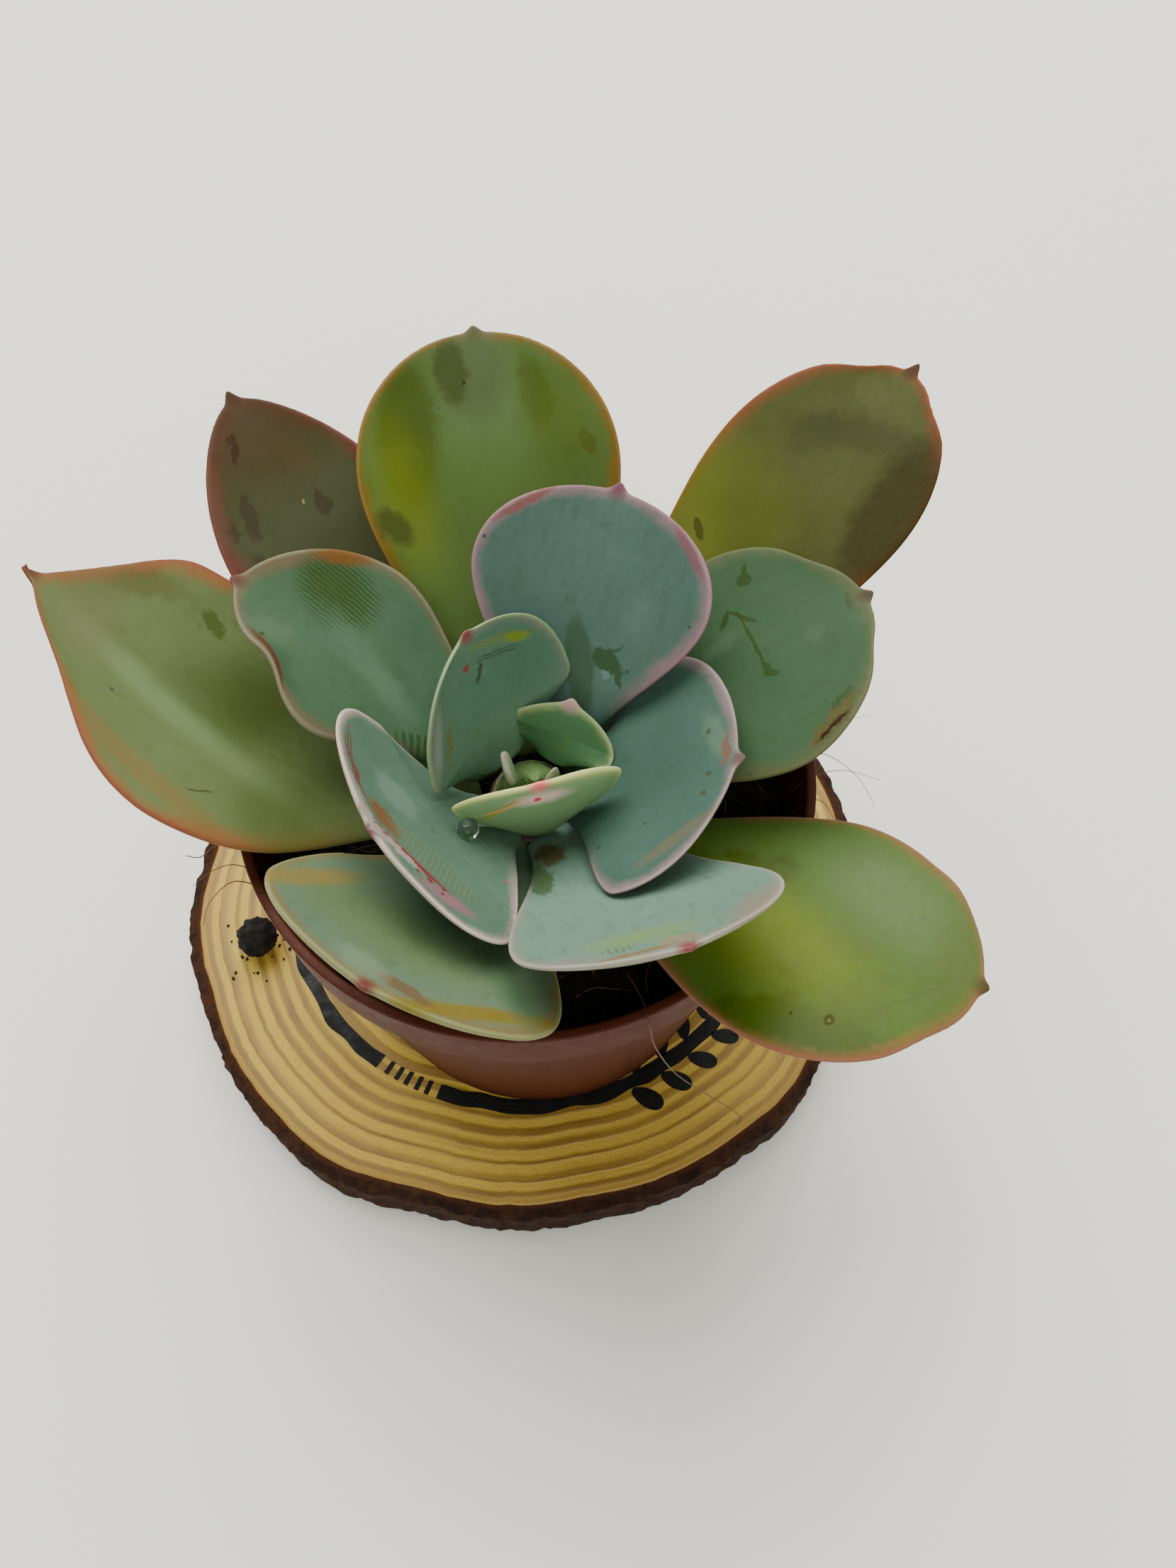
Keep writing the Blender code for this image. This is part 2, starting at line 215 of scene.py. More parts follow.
wood_finish, tree, shader = surface("sawn_pine")
mm = here_in_mm(tree)
from_pith = wire(tree, "Attribute", {}, out="Fac", attribute_name="from_pith")
sway = sum_of(tree, mottle(tree, mm, 16, 2), 0.5, "SUBTRACT")
ring = sum_of(tree, from_pith, product(tree, sway, 0.9))
slow = {"W": product(tree, from_pith, 0.16), "Detail": 1.0}
uneven = wire(tree, "TexNoise", slow, noise_dimensions="1D")
ring = sum_of(tree, product(tree, ring, 1 / RING_WIDTH), product(tree, uneven, 0.7))
share = wire(tree, "Math", {0: ring}, operation="FRACT")
late_wood = product(tree, between(tree, share, 0.1, 0.6), between(tree, share, 0.7, 1.0, 1.0, 0.0))
strength = between(tree, mottle(tree, mm, 9, 2), 0.3, 0.7, 0.75, 1.0)
late_wood = product(tree, late_wood, strength)
pine = blend(tree, late_wood, tone(186, 155, 52), tone(120, 90, 20))
warmth = between(tree, mottle(tree, mm, 26, 3), 0.35, 0.7, 0.0, 0.25)
pine = blend(tree, warmth, pine, tone(150, 111, 37))
pores = between(tree, mottle(tree, mm, 0.28, 2, 0.6), 0.56, 0.72, 0.0, 0.35)
pine = blend(tree, pores, pine, tone(112, 79, 27))
under_bark = between(tree, from_pith, PITH_TO_BARK - 1.7, PITH_TO_BARK - 0.1, 0.0, 0.5)
pine = blend(tree, under_bark, pine, tone(114, 74, 27))
tree.links.new(pine, shader.inputs["Base Color"])
tree.links.new(between(tree, late_wood, 0.0, 1.0, 0.62, 0.5), shader.inputs["Roughness"])
saw = sum_of(tree, product(tree, late_wood, 0.7), product(tree, mottle(tree, mm, 0.35, 4, 0.6), 0.5))
relief(tree, shader, saw, 0.16)

wood_radius = SLICE_RADIUS - BARK_THICKNESS
profile = [(0, 0), (wood_radius - 0.4 * MM, 0), (wood_radius, 0.4 * MM)]
profile += [(wood_radius, SLICE_TOP - 0.25 * MM), (wood_radius - 0.25 * MM, SLICE_TOP), (0, SLICE_TOP)]
shape = turned(profile, 220)
pith_layer = shape.verts.layers.float.new("from_pith")
for vertex in shape.verts:
    across = vertex.co.xy.length
    vertex[pith_layer] = across / wood_radius * PITH_TO_BARK
    turn = math.atan2(vertex.co.y, vertex.co.x)
    vertex.co.xy = vertex.co.xy * (wood_edge(turn) / wood_radius)
bmesh.ops.translate(shape, verts=shape.verts, vec=SLICE_CENTRE)
wood = add_piece("pine_disc", shape, wood_finish, 40)
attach(wood, "root")
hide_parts("wood_slice")


# Bark: the rough brown skin round the slice, about 2 mm thick, split into small scales. It is
# grown onto the wood, and the saw left its top edge worn and uneven.
bark_finish, tree, shader = surface("pine_bark")
mm = here_in_mm(tree)
scales = mottle(tree, mm, 2.2, 5, 0.62)
bark = blend(tree, between(tree, scales, 0.3, 0.7), tone(32, 13, 4), tone(66, 37, 14))
inner_rim = wire(tree, "Attribute", {}, out="Fac", attribute_name="bark_depth")
inner_rim = sum_of(tree, inner_rim, product(tree, sum_of(tree, scales, 0.5, "SUBTRACT"), 0.9))
bark = blend(tree, between(tree, inner_rim, 0.02, 0.42, 0.8, 0.0), bark, tone(81, 41, 14))
lichen = between(tree, mottle(tree, mm, 5, 4, 0.6), 0.58, 0.7, 0.0, 0.5)
bark = blend(tree, lichen, bark, tone(74, 53, 30))
dark_cracks = between(tree, mottle(tree, mm, 0.8, 3, 0.7), 0.3, 0.46, 0.75, 0.0)
bark = blend(tree, dark_cracks, bark, tone(13, 5, 2))
tree.links.new(bark, shader.inputs["Base Color"])
shader.inputs["Roughness"].default_value = 0.9
shader.inputs["Specular IOR Level"].default_value = 0.25
relief(tree, shader, mottle(tree, mm, 0.7, 5, 0.65), 0.7)

steps_up, steps_in = 12, 7
profile = [(1.0, 0.0)]
profile += [(2.0, step / steps_up) for step in range(steps_up + 1)]
profile += [(1.0 + (steps_in - step) / steps_in, 1.0) for step in range(1, steps_in + 1)]
shape = turned(profile, 420)
depth_layer = shape.verts.layers.float.new("bark_depth")
for vertex in shape.verts:
    turn = math.atan2(vertex.co.y, vertex.co.x)
    deep = vertex.co.xy.length - 1.0
    up = vertex.co.z
    vertex[depth_layer] = deep
    inside, outside = wood_edge(turn) - 0.1 * MM, slice_edge(turn)
    spot = Vector((math.cos(turn) * 22, math.sin(turn) * 22, up * 3.2))
    plates = noise.fractal(spot, 0.9, 2.1, 4)
    outside += (plates * 0.45 - 0.25) * MM * (1 if up < 1 or deep > 0.5 else 0.5)
    radius = inside + (outside - inside) * min(deep, 1.0)
    worn = 0.25 + 0.75 * deep**2 * abs(noise.noise(spot * 1.7)) + 0.25 * deep
    height = up * (SLICE_TOP - worn * MM * up) + 0.25 * MM * (1 - up)
    vertex.co = (math.cos(turn) * radius, math.sin(turn) * radius, height)
bmesh.ops.translate(shape, verts=shape.verts, vec=SLICE_CENTRE)
bark_ring = add_piece("bark_ring", shape, bark_finish, 55)
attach(bark_ring, "root")
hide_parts("wood_slice")


# Painted wreath: a thin black ring on the wood with two sprays of round leaves and a few short
# dashes, laid on by hand with a stencil, so that its edges are uneven. It is a film of matt paint.
WREATH_RADIUS = 35.7 * MM
PAINT_FILM = 0.04 * MM
RING_STROKE, DASH_STROKE = 1.7 * MM, 1.6 * MM
SPRAY_STARTS, SPRAY_PAIRS, SPRAY_STEP = (-66, 78), 6, 7.2  # turns and steps in degrees
paint_finish, tree, shader = surface("black_paint")
mm = here_in_mm(tree)
paint = blend(tree, mottle(tree, mm, 1.2, 4, 0.6), tone(3, 3, 3), tone(13, 12, 11))
tree.links.new(paint, shader.inputs["Base Color"])
tree.links.new(between(tree, mottle(tree, mm, 2.0, 3), 0.3, 0.7, 0.45, 0.7), shader.inputs["Roughness"])
shader.inputs["Specular IOR Level"].default_value = 0.25
relief(tree, shader, mottle(tree, mm, 0.5, 3, 0.6), 0.1)


def painted_arc(start, end, width):
    """A stroke of the ring between two turns, in degrees."""
    half = width / 2
    corners = [(WREATH_RADIUS - half, 0), (WREATH_RADIUS + half, 0)]
    corners += [(WREATH_RADIUS + half, PAINT_FILM), (WREATH_RADIUS - half, PAINT_FILM)]
    arc = turned(corners, max(3, round((end - start) * 0.8)), math.radians(end - start))
    ends = [edge for edge in arc.edges if edge.is_boundary]
    bmesh.ops.holes_fill(arc, edges=ends)
    for vertex in arc.verts:
        turn = math.atan2(vertex.co.y, vertex.co.x)
        outer = 1 if vertex.co.xy.length > WREATH_RADIUS else -1
        shake = noise.noise(Vector((math.cos(turn), math.sin(turn), outer)) * 9) * 0.6 * MM
        shake += outer * 0.2 * MM * math.cos(turn + math.radians(start + 80))
        vertex.co.xy = vertex.co.xy * ((vertex.co.xy.length + shake) / vertex.co.xy.length)
    bmesh.ops.rotate(arc, verts=arc.verts, matrix=Matrix.Rotation(math.radians(start), 3, "Z"))
    return arc


def painted_leaf(turn, away, lean, length, width):
    """A round leaf of the wreath beside the ring."""
    leaf = bmesh.new()
    bmesh.ops.create_circle(leaf, cap_ends=True, segments=22, radius=1)
    for vertex in leaf.verts:
        narrow = 1 - 0.32 * (1 - vertex.co.x) / 2
        vertex.co = (vertex.co.x * length / 2 + length / 2, vertex.co.y * width / 2 * narrow, 0)
    bottom = leaf.faces[:]
    grown = bmesh.ops.extrude_face_region(leaf, geom=bottom)
    risen = [part for part in grown["geom"] if isinstance(part, bmesh.types.BMVert)]
    bmesh.ops.translate(leaf, verts=risen, vec=(0, 0, PAINT_FILM))
    facing = turn + 90 + lean
    bmesh.ops.rotate(leaf, verts=leaf.verts, matrix=Matrix.Rotation(math.radians(facing), 3, "Z"))
    spot = Matrix.Rotation(math.radians(turn), 3, "Z") @ Vector((WREATH_RADIUS + away, 0, 0))
    bmesh.ops.translate(leaf, verts=leaf.verts, vec=spot)
    return leaf


wreath = bmesh.new()
parts = [painted_arc(-109, 236, RING_STROKE)]
for start in (-122, -119.4, -117, -114.4, -112):
    parts.append(painted_arc(start, start + 1.1, DASH_STROKE))
for first in SPRAY_STARTS:
    for pair in range(SPRAY_PAIRS):
        turn = first + pair * SPRAY_STEP
        size = 1 - 0.06 * pair
        parts.append(painted_leaf(turn, 1.0 * MM, -52, 4.8 * MM * size, 3.1 * MM * size))
        parts.append(painted_leaf(turn + 2, -1.0 * MM, 55, 4.4 * MM * size, 2.8 * MM * size))
for part in parts:
    film = bpy.data.meshes.new("film")
    part.to_mesh(film)
    part.free()
    wreath.from_mesh(film)
    bpy.data.meshes.remove(film)
bmesh.ops.translate(wreath, verts=wreath.verts, vec=SLICE_CENTRE + Vector((0, 0, SLICE_TOP)))
wreath_paint = add_piece("wreath_paint", wreath, paint_finish, 40)
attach(wreath_paint, "root")


# Pot: a 6.5 cm nursery pot blown from thin terracotta-coloured plastic, with a wider collar, a
# raised floor and six drain holes. It stands loose on the wood.
pot_low, pot_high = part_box("pot")
POT_FOOT_Z = pot_low.z
POT_HEIGHT = pot_high.z - pot_low.z
POT_RIM_RADIUS = (pot_high.x - pot_low.x) / 2
POT_BASE_RADIUS = 24 * MM
POT_WALL = 1.1 * MM
COLLAR_HEIGHT = 8 * MM
COLLAR_STEP = 0.9 * MM
COLLAR_TAPER = 0.6 * MM
FLOOR_BOTTOM, FLOOR_TOP = 1.6 * MM, 2.8 * MM
EDGE_ROUNDING = 0.28 * MM
DRAIN_HOLES, HOLE_RING, HOLE_RADIUS = 6, 14 * MM, 2.5 * MM


def pot_inside(height):
    """Inside radius of the pot at a height above its foot."""
    share = height / (POT_HEIGHT - COLLAR_HEIGHT)
    body_top = POT_RIM_RADIUS - COLLAR_TAPER - COLLAR_STEP
    body = POT_BASE_RADIUS + (body_top - POT_BASE_RADIUS) * min(share, 1.0)
    if share <= 1.0:
        return body - POT_WALL
    up_collar = (height - (POT_HEIGHT - COLLAR_HEIGHT)) / COLLAR_HEIGHT
    return body - POT_WALL + (COLLAR_TAPER + COLLAR_STEP) * up_collar


plastic_finish, tree, shader = surface("terracotta_plastic")
mm = here_in_mm(tree)
height = wire(tree, "SeparateXYZ", {0: mm}, out="Z")
clouds = mottle(tree, mm, 9, 4, 0.6)
plastic = blend(tree, clouds, tone(63, 22, 4), tone(70, 26, 5))
collar = between(tree, height, 47.6, 48.6)
plastic = blend(tree, product(tree, collar, 0.6), plastic, tone(70, 29, 9))
dust = product(tree, between(tree, mottle(tree, mm, 1.4, 5, 0.7), 0.5, 0.75), 0.3)
plastic = blend(tree, dust, plastic, tone(46, 20, 5))
specks = wire(tree, "TexVoronoi", {"Vector": mm, "Scale": 0.45}, out="Distance")
cells = wire(tree, "TexVoronoi", {"Vector": mm, "Scale": 0.45}, out="Color")
picked = between(tree, wire(tree, "SeparateColor", {0: cells}, out=0), 0.8, 0.82)
soil_specks = product(tree, between(tree, specks, 0.07, 0.1, 1.0, 0.0), picked)
plastic = blend(tree, soil_specks, plastic, tone(7, 3, 1))
tree.links.new(plastic, shader.inputs["Base Color"])
gloss = between(tree, mottle(tree, mm, 3.5, 4, 0.6), 0.3, 0.7, 0.48, 0.6)
gloss = sum_of(tree, gloss, product(tree, dust, 0.5))
tree.links.new(gloss, shader.inputs["Roughness"])
shader.inputs["Specular IOR Level"].default_value = 0.16
shader.inputs["Subsurface Weight"].default_value = 0.1
shader.inputs["Subsurface Radius"].default_value = (1.0, 0.4, 0.2)
shader.inputs["Subsurface Scale"].default_value = 0.001
stretched = wire(tree, "Mapping", {"Vector": mm, "Scale": (1, 1, 0.12)})
relief(tree, shader, mottle(tree, stretched, 0.8, 3, 0.5), 0.05)

collar_foot = POT_HEIGHT - COLLAR_HEIGHT
foot_inside = POT_BASE_RADIUS - 2 * POT_WALL
shape = turned(
    [
        (0.0, FLOOR_TOP),
        (pot_inside(FLOOR_TOP), FLOOR_TOP),
        (pot_inside(collar_foot), collar_foot),
        (pot_inside(POT_HEIGHT), POT_HEIGHT),
        (POT_RIM_RADIUS, POT_HEIGHT),
        (POT_RIM_RADIUS - COLLAR_TAPER, collar_foot),
        (POT_RIM_RADIUS - COLLAR_TAPER - COLLAR_STEP, collar_foot - COLLAR_STEP / 2),
        (POT_BASE_RADIUS, 0.0),
        (foot_inside, 0.0),
        (foot_inside, FLOOR_BOTTOM),
        (0.0, FLOOR_BOTTOM),
    ],
    160,
)
shape.normal_update()
corners = [
    edge for edge in shape.edges
    if abs(edge.verts[0].co.z - edge.verts[1].co.z) < 0.01 * MM
    and edge.calc_face_angle(0) > math.radians(15)
]
bmesh.ops.bevel(
    shape, geom=corners, offset=EDGE_ROUNDING, segments=3, profile=0.5, affect="EDGES", material=-1
)
bmesh.ops.translate(shape, verts=shape.verts, vec=(0, 0, POT_FOOT_Z))
pot = add_piece("nursery_pot", shape, plastic_finish, 35)
drills = bmesh.new()
for number in range(DRAIN_HOLES):
    angle = math.tau * number / DRAIN_HOLES
    place = (HOLE_RING * math.cos(angle), HOLE_RING * math.sin(angle), POT_FOOT_Z + FLOOR_BOTTOM)
    bmesh.ops.create_cone(
        drills, cap_ends=True, segments=24, radius1=HOLE_RADIUS, radius2=HOLE_RADIUS, depth=5 * MM,
        matrix=Matrix.Translation(place),
    )
drill = add_piece("drill", drills, plastic_finish)
holes = pot.modifiers.new("drain_holes", "BOOLEAN")
holes.operation = "DIFFERENCE"
holes.solver = "EXACT"
holes.object = drill
view = bpy.context.evaluated_depsgraph_get()
drilled = bpy.data.meshes.new_from_object(pot.evaluated_get(view))
pot.modifiers.clear()
pot.data = drilled
pot.data.set_sharp_from_angle(angle=math.radians(35))
bpy.data.objects.remove(drill)
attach(pot, "root")
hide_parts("pot")


# Peat mix: dark crumbly peat that fills the pot to 7.5 mm below its rim, heaped a little round
# the stem, with loose crumbs on top.
SOIL_BELOW_RIM = 7.5 * MM
PEAT_GAP = 0.3 * MM  # between the peat and the plastic
HEAP_HEIGHT = 1.8 * MM
SOIL_TOP = POT_HEIGHT - SOIL_BELOW_RIM
soil_edge = pot_inside(SOIL_TOP) - PEAT_GAP
peat_finish, tree, shader = surface("damp_peat")
mm = here_in_mm(tree)
clots = between(tree, mottle(tree, mm, 1.1, 6, 0.7), 0.35, 0.7)
peat = blend(tree, clots, tone(8, 5, 4), tone(33, 23, 14))
husks = between(tree, mottle(tree, mm, 0.7, 2, 0.6), 0.66, 0.72)
peat = blend(tree, product(tree, husks, 0.6), peat, tone(71, 51, 29))
tree.links.new(peat, shader.inputs["Base Color"])
tree.links.new(between(tree, mottle(tree, mm, 2.5, 3), 0.4, 0.6, 0.95, 0.6), shader.inputs["Roughness"])
shader.inputs["Specular IOR Level"].default_value = 0.3
relief(tree, shader, mottle(tree, mm, 0.6, 6, 0.7), 0.7)


def soil_height(x, y):
    """Height of the peat above its edge: a low heap with clods on it."""
    out = min(1.0, math.hypot(x, y) / soil_edge)
    heap = HEAP_HEIGHT * (1 - out**2)
    swell = math.sin(x / (3.1 * MM) + 1.0) * math.cos(y / (2.7 * MM)) * 0.5 * MM * (1 - out**6)
    spot = Vector((x, y, 0)) / MM
    clods = noise.fractal(spot / 3.2, 0.8, 2.2, 5) * 1.0 * MM
    return heap + swell + clods - 0.2 * MM


profile = [(0.0, FLOOR_TOP + PEAT_GAP), (pot_inside(FLOOR_TOP) - PEAT_GAP, FLOOR_TOP + PEAT_GAP)]
profile += [(pot_inside(collar_foot) - PEAT_GAP, collar_foot), (soil_edge, SOIL_TOP)]
profile += [(soil_edge * (1 - ring / 60), SOIL_TOP) for ring in range(1, 61)]
shape = turned(profile, 200)
for vertex in shape.verts:
    if vertex.co.z > SOIL_TOP - 0.01 * MM and vertex.co.xy.length < soil_edge - 0.01 * MM:
        vertex.co.z += soil_height(vertex.co.x, vertex.co.y)
bmesh.ops.translate(shape, verts=shape.verts, vec=(0, 0, POT_FOOT_Z))
soil = add_piece("peat_bed", shape, peat_finish)
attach(soil, "root")
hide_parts("peat_mix")

chance = random.Random(11)
LOOSE_CRUMBS, FALLEN_GRAINS, SOIL_HAIRS = 900, 22, 150


def crumb(shape, place, size):
    """One rough crumb of peat, pressed a little flat."""
    made = bmesh.ops.create_icosphere(shape, subdivisions=1, radius=size)["verts"]
    for vertex in made:
        vertex.co *= chance.uniform(0.7, 1.3)
        vertex.co.z *= 0.75
    angle = chance.uniform(0, math.tau)
    axis = Vector((chance.random(), 1, chance.random()))
    bmesh.ops.rotate(shape, verts=made, matrix=Matrix.Rotation(angle, 3, axis))
    bmesh.ops.translate(shape, verts=made, vec=place)


shape = bmesh.new()
for number in range(LOOSE_CRUMBS):
    turn, out = chance.uniform(0, math.tau), math.sqrt(chance.random()) * (soil_edge - 0.8 * MM)
    x, y = math.cos(turn) * out, math.sin(turn) * out
    size = chance.choice((0.25, 0.35, 0.35, 0.5, 0.5, 0.75, 1.1)) * MM
    crumb(shape, (x, y, POT_FOOT_Z + SOIL_TOP + soil_height(x, y) + size * 0.3), size)
loose = add_piece("peat_crumbs", shape, peat_finish, 25)
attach(loose, "root")


# Fallen crumb: a lump of the same peat, held by roots, that lies on the wood left of the pot,
# with a few grains round it.
crumb_low, crumb_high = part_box("peat_crumb")
crumb_middle = (crumb_low + crumb_high) / 2
shape = bmesh.new()
bmesh.ops.create_icosphere(shape, subdivisions=5, radius=(crumb_high.x - crumb_low.x) / 2)
for vertex in shape.verts:
    spot = vertex.co / MM
    vertex.co *= 1 + 0.16 * noise.fractal(spot / 1.4, 0.8, 2.2, 5)
    vertex.co.z = max(vertex.co.z, -0.62 * (crumb_high.z - crumb_low.z))
lowest = min(vertex.co.z for vertex in shape.verts)
place = Vector((crumb_middle.x, crumb_middle.y, SLICE_TOP + 0.05 * MM - lowest))
bmesh.ops.translate(shape, verts=shape.verts, vec=place)
lump = add_piece("fallen_lump", shape, peat_finish)
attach(lump, "root")
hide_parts("peat_crumb")
shape = bmesh.new()
for number in range(FALLEN_GRAINS):
    turn, out = chance.uniform(0, math.tau), (2.4 + 4.5 * chance.random() ** 2) * MM
    spot = Vector((crumb_middle.x + math.cos(turn) * out, crumb_middle.y + math.sin(turn) * out, 0))
    crumb(shape, spot + Vector((0, 0, SLICE_TOP + 0.12 * MM)), chance.uniform(0.12, 0.3) * MM)
grains = add_piece("fallen_grains", shape, peat_finish, 25)
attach(grains, "root")


# Stem: a short corky stem with scars where old leaves have dropped, turning green at its growing
# end. The leaves hide most of it, so it keeps the CAD model's own shape.
stem_finish, tree, shader = surface("corky_stem")
mm = here_in_mm(tree)
patches = between(tree, mottle(tree, mm, 1.6, 4, 0.6), 0.35, 0.65)
cork = blend(tree, patches, tone(84, 74, 48), tone(132, 122, 84))
scars = wire(tree, "TexVoronoi", {"Vector": mm, "Scale": 0.4}, out="Distance")
cork = blend(tree, between(tree, scars, 0.25, 0.45, 0.7, 0.0), cork, tone(80, 52, 32))
young = between(tree, wire(tree, "SeparateXYZ", {0: mm}, out="Z"), 57.0, 61.0)
cork = blend(tree, young, cork, tone(92, 122, 62))
tree.links.new(cork, shader.inputs["Base Color"])
shader.inputs["Roughness"].default_value = 0.8
relief(tree, shader, mottle(tree, mm, 0.8, 5, 0.6), 0.4)
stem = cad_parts["stem"]
stem.material_slots[0].material = stem_finish


# Leaves: seventeen thick, smooth leaves in a rosette, oldest first. Each one sits on the stem at
# its own height and turn. Seat is above the pot's rim. Lengths are mm and angles degrees. Rise is
# the slope at the base, curl and sweep how far it bends up and sideways, roll its tilt, cup how
# far the margins turn up, and point how drawn-out (1) or square (-1) the tip is.
Leaf = namedtuple(
    "Leaf", "name seat turn length width thick rise curl sweep roll cup widest point mucro"
)
STEM_HEIGHT = 17.5 * MM
STEM_RADII = ((0.0, 4.6), (0.35, 4.6), (0.6, 3.6), (0.8, 2.0), (0.95, 1.0), (1.0, 0.5))
STEM_FOOT_Y, STEM_LEAN_X, STEM_LEAN_Y = -2 * MM, 1.5 * MM, 6 * MM
STALK_SHARE = 0.26  # of the leaf's width, where it leaves the stem
RIM_Z = pot_high.z
ROUND_STEPS, LENGTH_STEPS, OUTLINE_STEPS = 72, 110, 800


def stem_radius(share):
    """Stem radius at a share of its height above the peat."""
    for (low, first), (high, second) in zip(STEM_RADII, STEM_RADII[1:]):
        if share <= high:
            return MM * (first + (second - first) * (share - low) / (high - low))
    return STEM_RADII[-1][1] * MM


def midrib(leaf, steps=900):
    """Place, forward, sideways and up, from the leaf's base to its tip."""
    share = (SOIL_BELOW_RIM + leaf.seat * MM) / STEM_HEIGHT
    lean = share**1.3
    place = Vector((STEM_LEAN_X * lean, STEM_FOOT_Y - STEM_LEAN_Y * lean, RIM_Z + leaf.seat * MM))
    turn, rise = math.radians(leaf.turn), math.radians(leaf.rise)
    clear_of_stem = 0.3 * MM + 0.4 * leaf.thick * MM * math.sin(rise)
    place += Vector((math.cos(turn), math.sin(turn), 0)) * (stem_radius(share) + clear_of_stem)
    frames = []
    for step in range(steps + 1):
        share = step / steps
        slope = rise + math.radians(leaf.curl) * share
        heading = turn + math.radians(leaf.sweep) * share
        level = Vector((math.cos(heading), math.sin(heading), 0)) * math.cos(slope)
        forward = level + Vector((0, 0, math.sin(slope)))
        sideways = Vector((math.sin(heading), -math.cos(heading), 0))
        up = sideways.cross(forward)
        tilt = Matrix.Rotation(math.radians(leaf.roll) * min(1.0, share / 0.5), 3, forward)
        frames.append((place.copy(), forward, tilt @ sideways, tilt @ up))
        place += forward * (leaf.length * MM / steps)
    return frames


def leaf_outline(leaf, along):
    """(half width in mm, share of the thickness) at a share of the leaf's length."""
    rounded_base = math.sqrt(max(0.0, 1 - (1 - along / 0.05) ** 2)) if along < 0.05 else 1.0
    to_widest = min(1.0, along / leaf.widest)
    blade = STALK_SHARE + (1 - STALK_SHARE) * to_widest * to_widest * (3 - 2 * to_widest)
    past = max(0.0, (along - leaf.widest) / (1 - leaf.widest))
    blunt = math.sqrt(max(0.0, 1 - past * past))
    other = (1 - past) * (1 + 0.9 * past) if leaf.point > 0 else (1 - past**4) ** 0.25
    apex = blunt + (other - blunt) * abs(leaf.point)
    thickness = (0.8 + 0.8 * min(along, 0.25)) * (1 - 0.4 * along) * rounded_base * blunt**0.8
    return leaf.width / 2 * blade * rounded_base * apex, thickness


def leaf_shape(leaf, crease, dents):
    """The leaf's body: a sphere whose poles become the base and the tip. It carries where each
    point is on the skin, in mm, and how far it is from the margin."""
    shape = bmesh.new()
    bmesh.ops.create_uvsphere(shape, u_segments=ROUND_STEPS, v_segments=LENGTH_STEPS, radius=1)
    skin_layer = shape.verts.layers.float_vector.new("skin_place")
    margin_layer = shape.verts.layers.float.new("margin")
    frames = midrib(leaf)
    outline = kdtree.KDTree(OUTLINE_STEPS + 1)
    for step in range(OUTLINE_STEPS + 1):
        share = 1 - (1 - step / OUTLINE_STEPS) ** 2
        outline.insert((leaf_outline(leaf, share)[0], share * leaf.length, 0), step)
    outline.balance()
    seed = leaf.turn * 0.37
    for vertex in shape.verts:
        along = (1 - max(-1.0, min(1.0, vertex.co.z))) / 2
        around = math.atan2(vertex.co.y, vertex.co.x)
        place, forward, sideways, up = frames[round(along * (len(frames) - 1))]
        half_width, thickness = leaf_outline(leaf, along)
        across, height = math.cos(around), math.sin(around)
        if along in (0.0, 1.0):
            across, height = 0.0, 0.0
        skin = (half_width * across, along * leaf.length)
        vertex[skin_layer] = (skin[0], skin[1], math.copysign(1.0, height))
        vertex[margin_layer] = outline.find((abs(skin[0]), skin[1], 0))[2]
        cup = max(1e-4, math.radians(max(leaf.cup, 0.1)) * min(1.0, along / 0.3))
        bend = across * cup
        shift = half_width * MM * math.sin(bend) / cup
        lift = half_width * MM * (1 - math.cos(bend)) / cup
        side = 0.42 if height > 0 else 0.58
        depth = side * leaf.thick * MM * thickness * math.copysign(abs(height) ** 0.9, height)
        point = place + sideways * (shift - depth * math.sin(bend))
        point += up * (lift + depth * math.cos(bend))
        wave = noise.noise(Vector((skin[0] / 9, skin[1] / 9, seed))) * 0.25
        wave += noise.noise(Vector((skin[0] / 4, skin[1] / 4, seed + 5))) * 0.07
        wave *= min(1.0, along * 5) * (1 - along**8)
        wave -= crease * math.exp(-((skin[0] / 1.3) ** 2)) * math.sin(math.pi * along) * (height > 0)
        for edge, middle, reach, depth_in, lifted in dents:
            pull = math.exp(-(((along - middle) / reach) ** 2)) * max(0.0, across * edge) ** 2
            point -= sideways * (edge * depth_in * MM * pull)
            wave += lifted * pull
        from_tip = math.hypot(skin[0], leaf.length - skin[1])
        point += forward * (leaf.mucro * MM * math.exp(-((from_tip / 0.75) ** 2)))
        vertex.co = point + up * (wave * MM)
    return shape


# Leaf skin: waxy green flesh under a thin blue-grey bloom, which fingers and rain have rubbed off
# in places, where the skin is darker and shines. The margins blush where the sun reached them.
Skin = namedtuple(
    "Skin", "flesh deep bare bloom waxed blush reach blushed edge dots red_dots tip"
)
Mark = namedtuple(
    "Mark", "across along long wide turn colour strength soft torn lines",
    defaults=(0, None, 0.9, 0.25, 0.9, None),
)


